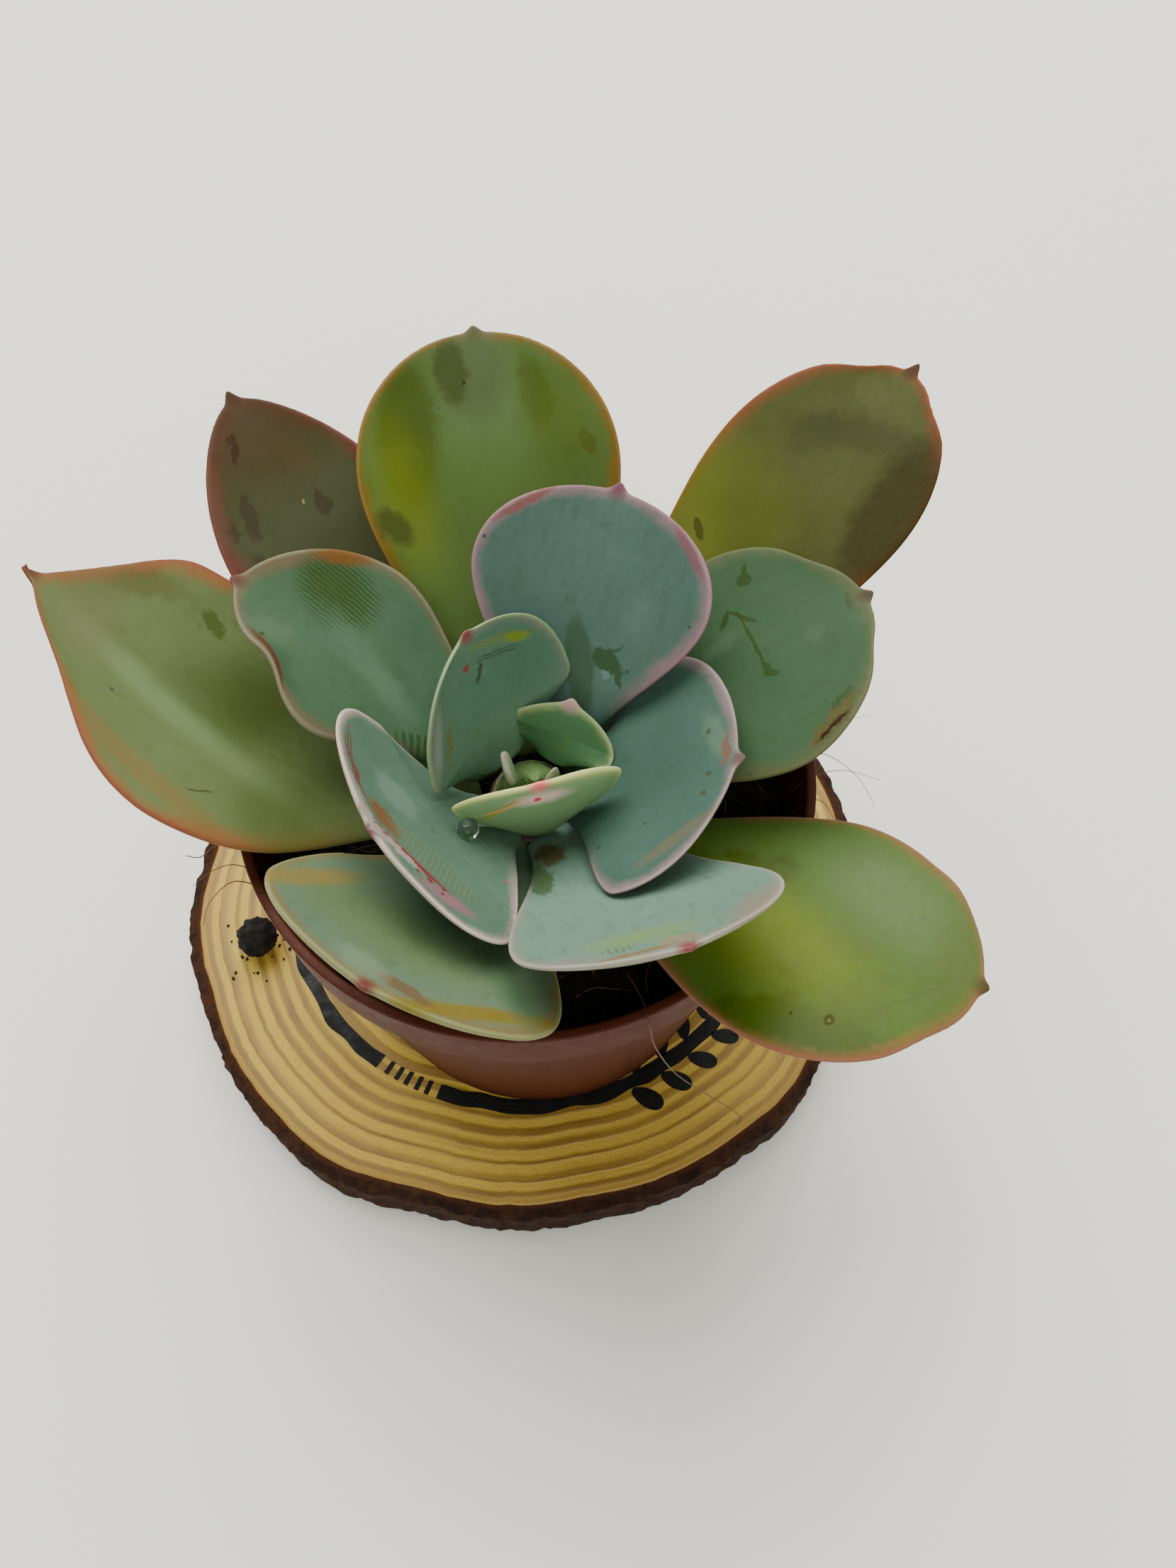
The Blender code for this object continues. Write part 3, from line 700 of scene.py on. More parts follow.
def marked(tree, torn, mark):
    """How strongly a mark shows at each point of the skin, from 0 to 1."""
    turn = math.radians(mark.turn)
    ragged = torn[0] if mark.torn < 0.5 else torn[1]
    sockets = {
        "Vector": ragged,
        "Location": (mark.across, mark.along, 0),
        "Rotation": (0, 0, turn),
        "Scale": (mark.long, mark.wide, 1000),
    }
    inside = wire(tree, "Mapping", sockets, vector_type="TEXTURE")
    out = wire(tree, "VectorMath", {0: inside}, out="Value", operation="LENGTH")
    share = between(tree, out, 1 - mark.soft, 1 + mark.soft, mark.strength, 0.0)
    if mark.lines:
        pitch, angle = mark.lines
        sockets = {"Vector": torn[0], "Rotation": (0, 0, turn + math.radians(angle)),
                   }
        turned_skin = wire(tree, "Mapping", sockets, vector_type="TEXTURE")
        sockets = {"Vector": turned_skin, "Scale": math.tau / 20 / pitch, "Distortion": 1.2,
                   "Detail": 2.0, "Detail Scale": 1.5}
        combed = wire(tree, "TexWave", sockets, out="Fac")
        share = product(tree, share, between(tree, combed, 0.25, 0.7))
    return share


def skin_finish(leaf, skin, marks):
    """The leaf's own material."""
    finish, tree, shader = surface(leaf.name + "_skin")
    place = wire(tree, "Attribute", {}, out="Vector", attribute_name="skin_place")
    margin = wire(tree, "Attribute", {}, out="Fac", attribute_name="margin")
    seed = leaf.turn * 1.7
    shifted = wire(tree, "VectorMath", {0: place, 1: (seed, seed * 0.6, 0)}, operation="ADD")
    centred = wire(tree, "VectorMath", {0: mottle(tree, shifted, 1.5, 5, 0.65, out="Color"),
                                        1: (0.5, 0.5, 0.5)}, operation="SUBTRACT")
    torn = []
    for reach in (0.6, 2.6):
        moved = wire(tree, "VectorMath", {0: centred, "Scale": reach}, operation="SCALE")
        torn.append(wire(tree, "VectorMath", {0: place, 1: moved}, operation="ADD"))
    clouds = mottle(tree, shifted, 11, 3, 0.5)
    fine = mottle(tree, shifted, 0.9, 5, 0.6)
    streaks = wire(tree, "Mapping", {"Vector": shifted, "Scale": (1, 0.22, 1)})
    streaks = mottle(tree, streaks, 0.8, 4, 0.6)

    from_base = wire(tree, "SeparateXYZ", {0: place}, out="Y")
    near_base = between(tree, from_base, leaf.length * 0.05, leaf.length * 0.6, 1.0, 0.0)
    patchy = sum_of(tree, between(tree, clouds, 0.35, 0.65, 0.0, 0.55), product(tree, near_base, 0.6))
    flesh = blend(tree, patchy, tone(*skin.flesh), tone(*skin.deep))
    rubbed = between(tree, mottle(tree, torn[0], 2.6, 4, 0.6), 0.6, 0.72, 0.0, 0.35)
    scars = []
    for mark in marks:
        share = marked(tree, torn, mark)
        if mark.colour is None:
            rubbed = sum_of(tree, rubbed, share, "MAXIMUM")
        else:
            scars.append((mark, share))
    kept = sum_of(tree, 1.0, rubbed, "SUBTRACT")
    thickness = between(tree, sum_of(tree, product(tree, clouds, 0.5), product(tree, fine, 0.5)),
                        0.3, 0.7, 0.6, 1.0)
    wax = product(tree, product(tree, kept, thickness), skin.waxed)
    bare = blend(tree, product(tree, rubbed, 0.85), flesh, tone(*skin.bare))
    colour = blend(tree, wax, bare, tone(*skin.bloom))
    grey_streaks = between(tree, streaks, 0.45, 0.75, 0.0, 0.2)
    colour = blend(tree, grey_streaks, colour, tone(*skin.bare))

    waver = product(tree, sum_of(tree, clouds, 0.5, "SUBTRACT"), skin.reach * 1.6)
    fray = product(tree, sum_of(tree, fine, 0.5, "SUBTRACT"), 1.2)
    ragged_margin = sum_of(tree, sum_of(tree, margin, waver), fray)
    blush = between(tree, ragged_margin, 0.0, skin.reach, skin.blushed, 0.0)
    only_blade = between(tree, from_base, leaf.length * 0.18, leaf.length * 0.45)
    blush = product(tree, blush, only_blade)
    colour = blend(tree, blush, colour, tone(*skin.blush))
    thin_edge = product(tree, between(tree, margin, 0.12, 0.5, 0.8, 0.0), only_blade)
    colour = blend(tree, thin_edge, colour, tone(*skin.edge))

    for size, amount, spot_colour, reach in (
        (0.42, skin.dots, (44, 62, 50), 0.0),
        (0.55, skin.red_dots, (168, 62, 84), 3.2),
    ):
        if amount:
            sockets = {"Vector": torn[0], "Scale": size}
            spot = wire(tree, "TexVoronoi", sockets, out="Distance")
            cell = wire(tree, "TexVoronoi", sockets, out="Color")
            pick = wire(tree, "SeparateColor", {0: cell}, out=0)
            chosen = between(tree, pick, 1 - amount, 1.02 - amount)
            width = product(tree, wire(tree, "SeparateColor", {0: cell}, out=1), 0.10)
            inner = sum_of(tree, sum_of(tree, width, 0.03), spot, "SUBTRACT")
            there = product(tree, between(tree, inner, -0.015, 0.015), chosen)
            if reach:
                there = product(tree, there, between(tree, margin, reach * 0.6, reach, 1.0, 0.0))
            colour = blend(tree, product(tree, there, 0.75), colour, tone(*spot_colour))
    tip_place = wire(tree, "VectorMath", {0: place, 1: (0, leaf.length, 0)}, operation="SUBTRACT")
    tip_place = wire(tree, "VectorMath", {0: tip_place, 1: (1, 1, 0)}, operation="MULTIPLY")
    from_tip = wire(tree, "VectorMath", {0: tip_place}, out="Value", operation="LENGTH")
    colour = blend(tree, between(tree, from_tip, 0.25, 1.5, 0.9, 0.0), colour, tone(*skin.tip))
    scarred = 0.0
    for mark, share in scars:
        colour = blend(tree, share, colour, tone(*mark.colour))
        if mark.soft < 0.5:
            scarred = sum_of(tree, share, scarred, "MAXIMUM")
    tree.links.new(colour, shader.inputs["Base Color"])

    rough = between(tree, wax, 0.0, 0.7, 0.33, 0.56)
    rough = sum_of(tree, rough, between(tree, fine, 0.3, 0.7, -0.05, 0.05))
    rough = sum_of(tree, rough, product(tree, scarred, 0.15))
    tree.links.new(rough, shader.inputs["Roughness"])
    height = sum_of(tree, product(tree, wax, 0.5), product(tree, fine, 0.55))
    height = sum_of(tree, height, product(tree, scarred, -0.9))
    relief(tree, shader, height, 0.03)
    shader.inputs["Specular IOR Level"].default_value = 0.1
    shader.inputs["Subsurface Weight"].default_value = 0.22
    shader.inputs["Subsurface Radius"].default_value = (0.7, 1.0, 0.4)
    shader.inputs["Subsurface Scale"].default_value = 0.0012
    return finish


def grow(leaf, skin, marks=(), crease=0.0, dents=()):
    """Makes a leaf, gives it its skin and puts it in the CAD leaf's place."""
    shape = leaf_shape(leaf, crease, dents)
    finish = skin_finish(leaf, skin, [Mark(*row) for row in marks])
    blade = add_piece(leaf.name + "_blade", shape, finish)
    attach(blade, "root")
    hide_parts(leaf.name)


# Outer leaves: the seven oldest. They lie lowest and have had the most sun, so they are olive to
# brown-red with orange or rust margins and have lost much of their bloom.
grow(
    Leaf("leaf_01", -4.3, 132, 55, 24, 3.4, 14, 16, -6, 0, 20, 0.62, 0.5, 1.2),
    Skin((52, 55, 22), (46, 56, 23), (43, 34, 8), (63, 66, 38), 0.5, (92, 32, 25), 2.6, 0.8,
         (109, 54, 48), 0.08, 0.0, (51, 20, 9)),
    (
        (0, 52, 9, 8, 0, (60, 42, 15), 0.75, 0.7, 0.3),
        (-3.1, 49.4, 2.1, 0.5, -115, (48, 28, 5), 0.8),
        (-6.1, 41.2, 3.1, 0.9, -108),
        (-9.1, 40.4, 1.5, 0.8, -100),
        (3.0, 45.1, 1.7, 1.3, -44, (73, 53, 24), 0.5, 0.6),
        (2.5, 39.0, 2.0, 0.9, -100),
        (-8.0, 34.5, 2.6, 1.1, -80),
        (0.6, 40.2, 0.35, 0.15, 60, (112, 113, 56), 1.0, 0.1, 0.0),
        (-9.5, 45.0, 7.0, 1.6, -108, (82, 57, 40), 0.55, 0.6),
    ),
)
grow(
    Leaf("leaf_02", -4.3, 42, 59, 26, 3.6, 28, 2, 0, 0, 15, 0.72, 0.1, 1.3),
    Skin((56, 61, 15), (63, 71, 15), (45, 46, 5), (68, 73, 29), 0.5, (106, 49, 17), 2.2, 0.75,
         (123, 55, 29), 0.06, 0.0, (55, 25, 5)),
    (
        (-6.0, 33.0, 9.0, 6.0, -40, (96, 104, 10), 0.6, 0.8, 0.9),
        (-3.5, 36.5, 6.0, 4.5, -40, (65, 73, 7), 0.85, 0.7, 0.3),
        (10.0, 45.0, 9.0, 4.2, 100, (44, 40, 4), 0.9, 0.35),
        (-2.2, 55.2, 2.6, 1.6, -25, (72, 76, 35), 0.7, 0.3),
        (3.1, 54.2, 1.9, 1.3, -31, (70, 73, 33), 0.6, 0.35),
        (1.0, 50.5, 7.0, 2.0, 20, (44, 44, 10), 0.55, 0.6, 0.9),
        (-7.2, 31.3, 1.5, 0.5, -33, (56, 57, 4), 0.9, 0.15, 0.3),
        (-4.0, 47.5, 3.0, 2.2, 40, (45, 48, 14), 0.5, 0.6),
        (5.0, 38.0, 9.0, 2.0, 95, (61, 62, 10), 0.4, 0.7, 0.9),
    ),
    crease=0.1,
    dents=((-1, 0.965, 0.03, 1.6, 0.0), (1, 0.965, 0.03, 1.2, 0.0)),
)
grow(
    Leaf("leaf_03", -3.1, 181, 54, 28.5, 3.6, 18, 10, -38, 0, 20, 0.58, 0.9, 1.2),
    Skin((79, 92, 46), (73, 87, 39), (59, 71, 21), (94, 109, 68), 0.55, (130, 68, 29), 1.9, 0.75,
         (117, 64, 42), 0.10, 0.0, (64, 26, 20)),
    (
        (1.7, 29.0, 6.5, 5.0, -83, (56, 71, 18), 0.8, 0.7, 0.3),
        (-8.5, 20.0, 4.5, 3.0, -97, (61, 76, 20), 0.75, 0.7, 0.4),
        (-2.6, 36.0, 12.0, 1.3, -103, (101, 117, 75), 0.75, 0.8, 0.3),
        (6.5, 44.7, 4.0, 1.2, -63, (75, 73, 29), 0.6, 0.5),
        (0.5, 47.0, 3.5, 5.5, -63, (92, 93, 58), 0.55, 0.7),
        (-10.9, 33.0, 12.0, 1.1, -100, (112, 84, 36), 0.5, 0.6, 0.3),
        (-9.5, 27.6, 1.3, 0.12, -60, (61, 64, 23), 0.8, 0.2, 0.3),
        (8.0, 36.0, 2.0, 0.8, 70),
    ),
    crease=0.35,
    dents=((1, 0.82, 0.1, -2.4, 0.0), (-1, 0.84, 0.14, 3.0, 0.0), (-1, 0.36, 0.18, -2.4, 0.0)),
)
grow(
    Leaf("leaf_04", -2.5, 323, 47, 27, 3.6, 12, 0, 13, 0, 5, 0.66, 0.2, 0.7),
    Skin((64, 88, 26), (59, 83, 26), (59, 75, 7), (77, 100, 38), 0.6, (124, 82, 44), 1.4, 0.65,
         (134, 86, 66), 0.22, 0.0, (63, 34, 12)),
    (
        (3.0, 26.0, 10.0, 5.0, 80, (112, 122, 14), 0.5, 0.8, 0.9),
        (-6.0, 36.0, 9.0, 4.0, 70, (92, 110, 72), 0.55, 0.8, 0.9),
        (-4.7, 24.8, 2.0, 2.0, 86),
        (-4.6, 20.4, 2.2, 0.8, 95),
        (0.2, 34.0, 2.6, 2.3, 86, None, 0.75),
        (5.1, 30.0, 1.7, 1.1, 77),
        (8.4, 31.4, 1.6, 1.3, 65),
        (11.0, 33.0, 9.0, 3.1, 100, None, 1.0, 0.2),
        (6.5, 37.0, 3.0, 2.2, 104, None, 0.8),
        (3.4, 37.8, 2.6, 1.0, 124, None, 0.6),
        (2.7, 42.4, 5.6, 0.32, 131, None, 0.7, 0.3, 0.9),
        (-10.7, 39.5, 1.7, 1.1, 57, None, 0.6, 0.35),
        (-9.6, 33.1, 3.0, 1.6, 80, None, 0.4, 0.5),
        (-1.0, 44.2, 7.0, 2.2, 0, (76, 84, 34), 0.5, 0.8, 0.4),
        (8.7, 35.4, 0.55, 0.5, 0, (59, 49, 6), 0.9, 0.3, 0.3),
        (8.7, 35.4, 0.2, 0.2, 0, (86, 100, 23), 1.0, 0.3, 0.0),
        (9.5, 32.0, 0.2, 0.12, 20, (59, 49, 6), 0.9, 0.3, 0.0),
    ),
    dents=((-1, 0.9, 0.05, -0.6, 0.0), (1, 0.93, 0.04, 0.7, 0.0)),
)
grow(
    Leaf("leaf_05", -1.7, 98, 48.5, 30, 3.6, 32, 0, 0, 0, 10, 0.68, 0.0, 0.8),
    Skin((65, 83, 24), (62, 87, 35), (54, 67, 6), (73, 93, 49), 0.42, (107, 73, 16), 1.6, 0.75,
         (128, 92, 45), 0.12, 0.0, (75, 58, 34)),
    (
        (-10.0, 30.0, 8.0, 3.2, -80, (96, 108, 12), 0.55, 0.8, 0.9),
        (0.0, 36.0, 9.0, 4.5, 90, (84, 108, 70), 0.5, 0.8, 0.9),
        (-0.6, 44.0, 5.5, 3.6, -90, (65, 76, 43), 0.75, 0.5, 0.9),
        (-8.8, 37.5, 8.5, 3.6, -93, None, 0.95, 0.3, 0.9),
        (-3.2, 43.9, 3.6, 1.9, -90, (49, 58, 12), 0.8, 0.3),
        (6.1, 41.0, 4.2, 1.8, -78, None, 0.8, 0.35),
        (8.5, 37.0, 6.0, 3.5, -80, (64, 79, 12), 0.6, 0.6),
        (11.5, 34.4, 1.5, 0.8, -67, (64, 72, 9), 0.9, 0.15, 0.3),
        (-11.5, 27.0, 2.6, 1.5, -46, (54, 59, 12), 0.8, 0.3),
        (0.0, 31.0, 7.0, 5.0, 0, (64, 85, 16), 0.55, 0.8),
        (-1.8, 42.6, 0.3, 0.2, -97, (29, 33, 9), 0.9, 0.2, 0.0),
    ),
)
grow(
    Leaf("leaf_06", -1.8, 249, 36, 30, 3.4, 22, 32, 0, -11, 10, 0.74, -0.1, 0.5),
    Skin((86, 104, 75), (65, 89, 68), (65, 86, 42), (98, 119, 95), 0.6, (116, 93, 53), 1.8, 0.8,
         (123, 127, 86), 0.22, 0.0, (95, 40, 40)),
    (
        (-8.6, 31.6, 8.6, 1.2, -140, (113, 97, 29), 0.9, 0.45, 0.3),
        (-2.6, 33.6, 3.0, 0.9, 176, (97, 72, 47), 0.8, 0.35),
        (1.8, 33.4, 2.6, 1.6, 170, (109, 126, 96), 0.6, 0.5),
        (-5.8, 19.8, 3.1, 0.9, -115, None, 0.9, 0.3, 0.9, (0.7, 0)),
        (-9.0, 24.0, 6.0, 1.8, 129, (73, 101, 69), 0.7, 0.5),
        (0.0, 16.0, 8.0, 4.0, 90, (52, 80, 52), 0.6, 0.7),
        (3.0, 26.0, 10.0, 4.5, 0, (87, 107, 57), 0.5, 0.6, 0.9),
        (12.2, 26.0, 6.0, 1.3, 60, (124, 105, 53), 0.8, 0.6, 0.3),
    ),
    crease=0.25,
)
grow(
    Leaf("leaf_07", 0.0, 21, 37, 28, 3.4, 28, 0, 0, 0, 15, 0.64, 0.2, 0.8),
    Skin((46, 72, 40), (43, 68, 39), (39, 60, 14), (58, 86, 58), 0.6, (79, 82, 50), 2.0, 0.75,
         (88, 89, 58), 0.24, 0.0, (65, 49, 34)),
    (
        (-9.2, 27.1, 0.9, 0.8, 90, None, 1.0, 0.15, 0.3),
        (-10.0, 27.6, 1.1, 0.3, -33, None, 1.0, 0.2, 0.3),
        (-6.2, 23.1, 1.3, 0.35, 135, None, 1.0, 0.2, 0.3),
        (-5.4, 25.0, 2.0, 0.28, 34, None, 1.0, 0.2, 0.3),
        (-1.7, 24.6, 4.4, 0.22, -2, None, 1.0, 0.25, 0.3),
        (2.0, 24.7, 1.4, 0.6, 14, None, 0.9, 0.25),
        (-0.4, 35.4, 1.4, 0.55, -18, None, 1.0, 0.15, 0.3),
        (10.0, 29.5, 1.8, 0.8, 122, None, 0.9, 0.25),
        (11.6, 27.6, 3.6, 0.9, 112, (75, 72, 35), 1.0, 0.2),
        (12.0, 27.2, 2.2, 0.3, 112, (43, 22, 12), 1.0, 0.3, 0.9),
        (-4.0, 21.5, 2.2, 1.0, 100, (69, 94, 65), 0.6, 0.5),
        (1.0, 30.5, 1.2, 0.9, 0, (64, 89, 58), 0.5, 0.5),
    ),
    dents=((-1, 0.93, 0.05, 1.0, 0.0), (1, 0.95, 0.035, 0.8, 0.0)),
)


# Inner leaves: five younger ones above them, blue-grey with bloom, with lilac to pink margins and
# many small dots.
grow(
    Leaf("leaf_08", 1.1, 148, 33.5, 22, 3.4, 32, 0, 14, 0, 28, 0.62, 0.4, 0.8),
    Skin((56, 83, 51), (48, 77, 52), (45, 69, 27), (72, 99, 74), 0.65, (106, 86, 64), 1.8, 0.8,
         (118, 112, 89), 0.20, 0.0, (91, 49, 44)),
    (
        (5.0, 24.4, 4.4, 3.9, -103, (42, 67, 21), 0.9, 0.35, 0.3, (0.48, 96)),
        (5.4, 25.4, 3.2, 2.6, -103, (48, 68, 21), 0.6, 0.6, 0.4),
        (8.9, 26.0, 3.0, 0.9, -59, (106, 67, 22), 0.85, 0.5, 0.3),
        (-7.6, 27.0, 3.6, 0.5, -128, (86, 49, 30), 0.9, 0.35, 0.4),
        (-4.4, 8.6, 3.0, 1.2, -64, None, 0.9, 0.25, 0.9, (0.9, 10)),
        (-0.3, 17.0, 6.5, 1.6, -110, (79, 108, 81), 0.6, 0.7),
        (-3.8, 28.0, 2.6, 1.8, 100, (86, 106, 77), 0.5, 0.5),
        (-5.4, 28.6, 0.3, 0.25, 0, (53, 67, 23), 0.9, 0.2, 0.0),
    ),
    crease=0.2,
    dents=((-1, 0.8, 0.09, 1.8, 0.6), (-1, 0.55, 0.1, -0.5, 0.0)),
)
grow(
    Leaf("leaf_09", -0.4, 298, 34.5, 26, 2.8, 25, 29, 0, -8, 10, 0.74, -0.2, 0.7),
    Skin((81, 108, 87), (72, 100, 84), (60, 79, 36), (106, 133, 117), 0.75,
         (137, 118, 106), 1.2, 0.6, (149, 144, 130), 0.34, 0.0, (117, 45, 57)),
    (
        (4.1, 33.0, 3.6, 0.4, 176, (120, 83, 44), 0.7, 0.35, 0.3),
        (0.0, 32.8, 1.8, 0.9, 160, (127, 111, 85), 0.8, 0.4),
        (-7.9, 31.2, 3.6, 1.4, -140, (140, 100, 82), 0.4, 0.7, 0.3),
        (9.6, 30.6, 3.2, 0.9, 150, (135, 104, 113), 0.35, 0.6, 0.3),
        (2.4, 29.6, 4.6, 1.6, 172, (109, 132, 80), 0.7, 0.7, 0.4),
        (5.0, 31.2, 1.8, 0.6, 172, (81, 92, 59), 0.6, 0.5, 0.9, (0.6, 0)),
        (5.2, 9.5, 4.0, 1.2, 76, None, 0.9, 0.25, 0.9),
        (2.4, 5.4, 2.2, 1.5, 92, (75, 67, 33), 0.9, 0.3),
    ),
    crease=0.2,
)
grow(
    Leaf("leaf_10", 2.9, 69, 29, 27, 3.4, 43, 0, 0, 0, 20, 0.66, 0.0, 0.9),
    Skin((56, 82, 67), (53, 77, 64), (45, 67, 34), (76, 100, 92), 0.7, (132, 104, 110), 1.7, 0.8,
         (146, 110, 116), 0.5, 0.12, (97, 56, 69)),
    (
        (1.2, 10.4, 5.4, 1.6, -68, None, 0.75, 0.2, 0.4),
        (4.0, 11.6, 2.2, 1.1, -25, None, 0.95, 0.2, 0.9),
        (5.6, 10.6, 1.6, 0.4, -58, None, 0.95, 0.2, 0.9),
        (4.3, 13.0, 1.4, 0.25, 30, None, 0.9, 0.25, 0.9),
        (4.4, 10.4, 0.7, 0.4, 0, (83, 107, 97), 0.9, 0.2, 0.9),
        (-9.4, 25.2, 3.6, 0.45, 42, (117, 63, 55), 0.7, 0.4, 0.4),
        (9.6, 25.0, 3.2, 0.5, -44, (115, 64, 71), 0.65, 0.4, 0.4),
        (6.0, 17.0, 2.4, 1.6, 80, (86, 110, 100), 0.35, 0.7),
    ),
)
grow(
    Leaf("leaf_11", 2.8, 227, 22.5, 28.5, 2.6, 35, 25, 0, -16, 14, 0.67, -0.3, 0.5),
    Skin((68, 95, 72), (64, 92, 72), (62, 79, 47), (90, 117, 98), 0.75, (170, 148, 140), 1.3, 0.85,
         (196, 178, 162), 0.20, 0.5, (94, 39, 50)),
    (
        (-2.4, 20.2, 6.2, 0.42, -155, (119, 43, 42), 0.95, 0.35, 0.4),
        (1.2, 19.6, 2.4, 1.1, -160, (107, 74, 42), 0.9, 0.35),
        (-4.3, 16.4, 5.6, 2.0, -158, (80, 98, 69), 0.85, 0.25, 0.3, (0.6, 8)),
        (-4.3, 16.4, 5.6, 2.0, -158, (93, 115, 90), 0.4, 0.2, 0.3),
        (-8.4, 18.8, 3.0, 1.0, -140, (138, 94, 106), 0.85, 0.6, 0.3),
        (-0.5, 21.4, 5.0, 0.5, -160, (149, 142, 129), 0.85, 0.3, 0.9),
        (9.8, 19.2, 1.8, 0.6, 145, (99, 65, 44), 0.8, 0.3, 0.3, (0.4, 90)),
        (6.5, 20.4, 3.2, 0.35, 170, (112, 41, 47), 0.75, 0.4, 0.9),
        (4.0, 15.5, 3.0, 1.8, 20, (99, 124, 106), 0.7, 0.3, 0.9),
        (-6.2, 19.2, 0.35, 0.3, 0, (110, 38, 38), 0.95, 0.2, 0.0),
        (-7.4, 18.2, 0.25, 0.2, 0, (110, 38, 38), 0.95, 0.2, 0.0),
        (-7.9, 18.9, 0.2, 0.2, 0, (110, 38, 38), 0.95, 0.2, 0.0),
        (-5.0, 20.0, 0.25, 0.2, 0, (110, 38, 38), 0.9, 0.2, 0.0),
    ),
    crease=0.15,
)
grow(
    Leaf("leaf_12", 3.4, 350.3, 20.2, 30, 2.4, 30, 7, 0, -3, 15, 0.50, 0.0, 0.9),
    Skin((49, 74, 62), (44, 70, 54), (53, 72, 45), (69, 96, 85), 0.75, (132, 108, 110), 1.5, 0.8,
         (146, 126, 124), 0.4, 0.45, (90, 60, 58)),
    (
        (-3.2, 17.8, 3.4, 1.2, 27, (84, 107, 87), 0.75, 0.5, 0.9),
        (9.0, 15.6, 4.6, 0.8, 130, (97, 89, 70), 0.7, 0.5, 0.4),
        (-4.0, 16.6, 0.35, 0.3, 0, (55, 74, 48), 0.9, 0.3, 0.0),
        (1.4, 17.4, 0.35, 0.3, 0, (57, 70, 46), 0.9, 0.3, 0.0),
        (3.8, 17.2, 0.35, 0.3, 0, (61, 66, 45), 0.9, 0.3, 0.0),
        (-1.4, 18.8, 2.0, 0.35, 0, (112, 66, 58), 0.8, 0.4, 0.9),
        (0.0, 8.0, 6.0, 8.0, 0, (41, 66, 54), 0.4, 0.8, 0.3),
    ),
)


# Heart leaves: the five youngest, fresh green and small, standing almost upright.
grow(
    Leaf("leaf_13", 4.4, 135, 19, 21.5, 2.3, 69, 18, 5, 4, 26, 0.36, -0.28, 0.5),
    Skin((70, 108, 76), (97, 127, 78), (76, 102, 41), (93, 127, 110), 0.75,
         (140, 126, 120), 1.3, 0.6, (131, 156, 110), 0.1, 0.0, (128, 58, 62)),
    (
        (-8.4, 11.4, 4.2, 0.8, 70, (150, 146, 136), 0.6, 0.6, 0.3),
        (-6.6, 9.6, 2.6, 0.4, 68, (112, 106, 48), 0.7, 0.4, 0.9),
        (3.7, 15.6, 4.2, 0.7, -24, (122, 133, 62), 0.8, 0.4, 0.3, (0.4, 90)),
        (5.6, 14.6, 1.6, 0.6, -32, (121, 137, 35), 0.85, 0.4, 0.3),
        (3.0, 14.2, 2.6, 0.5, -20, (52, 78, 49), 0.7, 0.4, 0.3, (0.4, 90)),
        (0.2, 13.8, 1.4, 0.2, 61, (48, 67, 40), 0.8, 0.3, 0.9),
        (-1.3, 15.4, 0.5, 0.4, -77, (142, 53, 62), 0.9, 0.4, 0.3),
    ),
)
grow(
    Leaf("leaf_14", 1.6, 281, 13.2, 17.4, 1.7, 70, 20, 8, -2, 10, 0.80, -0.2, 0.2),
    Skin((111, 149, 97), (126, 156, 97), (143, 149, 65), (141, 173, 130), 0.6,
         (190, 186, 110), 1.1, 0.5, (205, 205, 132), 0.06, 0.0, (242, 109, 122)),
    (
        (0.0, 11.2, 2.6, 0.9, 0, (247, 204, 194), 0.85, 0.7, 0.3),
        (4.2, 9.9, 2.6, 0.3, 135, (153, 149, 52), 0.95, 0.3, 0.4),
        (3.6, 10.4, 2.2, 0.3, 150, (219, 166, 105), 0.8, 0.4, 0.4),
        (0.3, 11.2, 0.4, 0.3, 0, (237, 59, 86), 1.0, 0.3, 0.0),
    ),
)
grow(
    Leaf("leaf_15", 4.9, 56, 7.0, 12.8, 1.6, 50, 4, 6, 15, 22, 0.40, 0.4, 0.6),
    Skin((65, 103, 55), (55, 92, 52), (83, 112, 53), (80, 117, 86), 0.4, (131, 148, 94), 1.3, 0.75,
         (146, 158, 110), 0.04, 0.0, (165, 123, 124)),
    ((0.0, 7.2, 1.6, 0.7, 0, (170, 141, 129), 0.7, 0.7, 0.3),),
)
grow(
    Leaf("leaf_16", 8.4, 200, 6.0, 2.9, 1.5, 86, -8, -20, 0, 0, 0.5, 0.2, 0.1),
    Skin((111, 134, 101), (101, 125, 83), (102, 120, 76), (129, 148, 125), 0.5,
         (144, 153, 125), 0.6, 0.5, (158, 165, 142), 0.0, 0.0, (151, 137, 120)),
    ((0.5, 3.4, 0.3, 0.22, 0, (169, 94, 99), 0.8, 0.5, 0.0),),
)
grow(
    Leaf("leaf_17", 8.0, 316, 5.6, 2.1, 1.1, 80, 0, 0, 0, 0, 0.5, 0.2, 0.1),
    Skin((116, 139, 104), (104, 129, 87), (102, 120, 76), (129, 148, 125), 0.5,
         (144, 153, 125), 0.4, 0.5, (158, 165, 142), 0.0, 0.0, (146, 151, 120)),
)


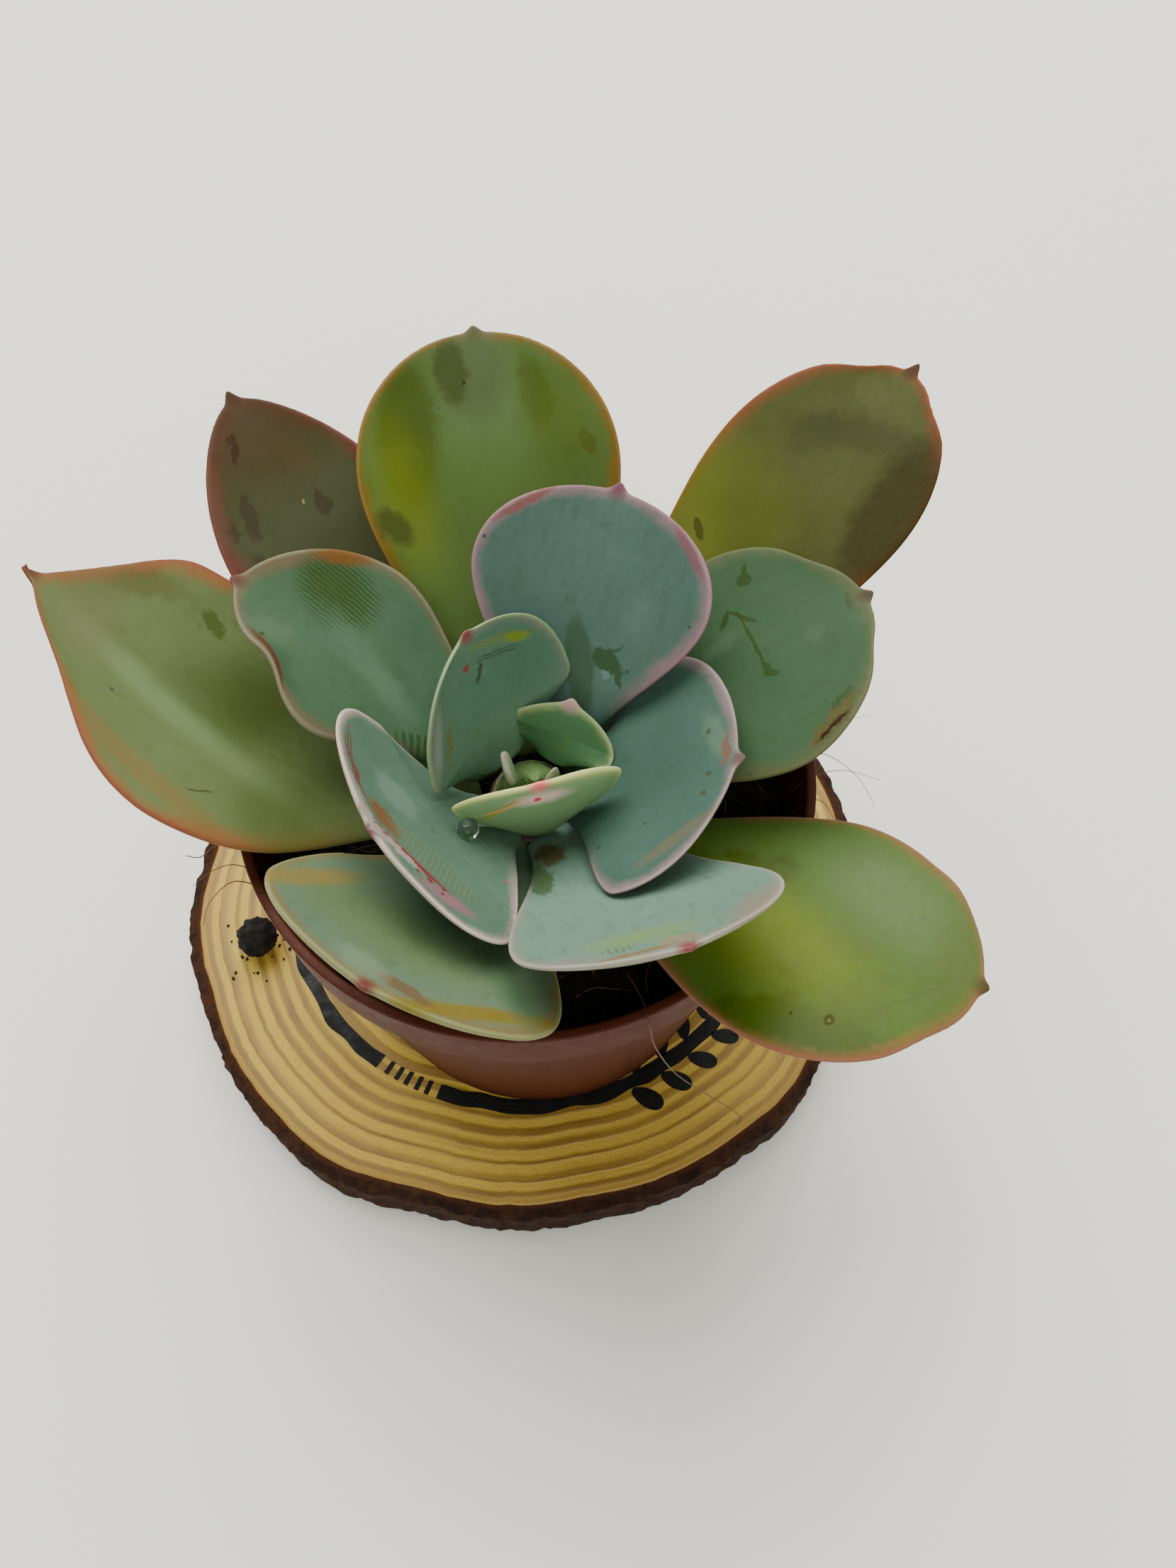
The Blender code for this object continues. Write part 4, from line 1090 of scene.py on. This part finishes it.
# Water drop: left from watering, held between the lowest heart leaf and the leaf below it.
water, tree, shader = surface("water")
shader.inputs["Base Color"].default_value = (0.95, 1.0, 0.9, 1)
shader.inputs["Roughness"].default_value = 0.02
shader.inputs["IOR"].default_value = 1.33
shader.inputs["Transmission Weight"].default_value = 1.0
DROP_RADIUS = 1.15 * MM
DROP_PLACE = Vector((-5.1 * MM, -13.7 * MM, RIM_Z + 9.4 * MM))
shape = bmesh.new()
bmesh.ops.create_icosphere(shape, subdivisions=5, radius=DROP_RADIUS)
for vertex in shape.verts:
    sag = 1 + 0.12 * (vertex.co.z < 0) * (vertex.co.z / MM) ** 2
    vertex.co.xy = vertex.co.xy * sag
    vertex.co.z *= 0.85
bmesh.ops.translate(shape, verts=shape.verts, vec=DROP_PLACE)
drop = add_piece("water_drop", shape, water)
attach(drop, "root")


# Root hairs: fine dry fibres of the peat, on the soil and hanging over the pot's rim, with one
# long hair that reaches down to the wood.
hair_finish, tree, shader = surface("dry_fibre")
mm = here_in_mm(tree)
hair = blend(tree, mottle(tree, mm, 2, 3), tone(64, 40, 24), tone(126, 90, 54))
tree.links.new(hair, shader.inputs["Base Color"])
shader.inputs["Roughness"].default_value = 0.7
relief(tree, shader, mottle(tree, mm, 0.2, 2), 0.02)


def lay_hair(shape, points, radius):
    """A tapering tube through points given in mm."""
    smooth = []
    for first, second, third, fourth in zip(
        [points[0], *points], points, points[1:], [*points[2:], points[-1]]
    ):
        a, b, c, d = (Vector(p) for p in (first, second, third, fourth))
        for step in range(4):
            t = step / 4
            smooth.append(
                0.5 * (2 * b + (c - a) * t + (2 * a - 5 * b + 4 * c - d) * t**2
                       + (3 * b - a - 3 * c + d) * t**3)
            )
    smooth.append(Vector(points[-1]))
    rings = []
    for number, middle in enumerate(smooth):
        ahead = smooth[min(number + 1, len(smooth) - 1)] - smooth[max(number - 1, 0)]
        turn = ahead.to_track_quat("Z", "X").to_matrix().to_4x4()
        thin = radius * (1 - 0.6 * number / len(smooth))
        made = bmesh.ops.create_circle(
            shape, segments=5, radius=thin * MM, matrix=Matrix.Translation(middle * MM) @ turn
        )["verts"]
        rings.append(list({edge for vertex in made for edge in vertex.link_edges}))
    for lower, upper in zip(rings, rings[1:]):
        bmesh.ops.bridge_loops(shape, edges=lower + upper)
    bmesh.ops.holes_fill(shape, edges=rings[0] + rings[-1])


LONG_HAIRS = (  # thickest radius, then the points it passes through, all in mm
    (0.1, (11, -23, 51), (12.4, -27, 54), (12.9, -30.8, 57.2), (13.8, -31.6, 52),
     (17.0, -29.6, 37), (21.9, -27.4, 22), (26.4, -26.2, 10.6), (27.6, -26.6, 8.6),
     (27.0, -27.4, 8.3)),
    (0.11, (-28.5, -9.0, 53), (-31.0, -10.2, 57), (-33.0, -11.4, 57.6), (-34.6, -12.0, 56.4),
     (-36.4, -11.6, 56.0)),
    (0.08, (-27.6, -14.0, 52), (-30.2, -15.2, 57.1), (-32.6, -17.6, 56.8), (-33.4, -19.4, 55)),
    (0.07, (-28.4, -12.5, 53), (-30.6, -13.2, 57), (-32.8, -14.4, 57.6), (-34.8, -15.6, 56.6)),
    (0.06, (30.0, 1.0, 52), (32.2, 0.6, 57), (34.0, -0.8, 58.6), (36.6, -3.0, 58.0),
     (38.4, -5.6, 56.4)),
    (0.06, (30.2, -1.6, 53), (32.2, -2.0, 57), (35.4, -2.2, 58.2), (39.4, -2.8, 57.0)),
    (0.06, (29.4, -4.6, 52), (31.9, -5.2, 57), (33.6, -6.6, 56.2), (35.0, -8.6, 53.0)),
    (0.04, (30.6, 2.6, 54), (32.4, 3.4, 57.4), (35.6, 3.2, 60.2), (39.0, 3.4, 61.0)),
    (0.05, (10.6, -5.6, 62.4), (10.0, -8.4, 61.4), (8.0, -10.4, 60.9), (5.0, -11.9, 60.6),
     (3.0, -12.4, 60.6)),
)
shape = bmesh.new()
for radius, *points in LONG_HAIRS:
    lay_hair(shape, points, radius)
for number in range(SOIL_HAIRS):
    turn = chance.uniform(0, math.tau)
    out = math.sqrt(chance.random()) * 27
    heading = chance.uniform(0, math.tau)
    points = []
    x, y = math.cos(turn) * out, math.sin(turn) * out
    hop = chance.uniform(0.8, 2.2)
    lifted = chance.uniform(0.2, 1.4)
    for step in range(5):
        if math.hypot(x, y) > 29.0:
            break
        ground = (POT_FOOT_Z + SOIL_TOP + soil_height(x * MM, y * MM)) / MM
        points.append((x, y, ground + 0.1 + lifted * math.sin(math.pi * step / 4)))
        heading += chance.uniform(-0.9, 0.9)
        x, y = x + math.cos(heading) * hop, y + math.sin(heading) * hop
    if len(points) > 2:
        lay_hair(shape, points, chance.uniform(0.04, 0.11))
hairs = add_piece("root_hairs", shape, hair_finish)
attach(hairs, "root")
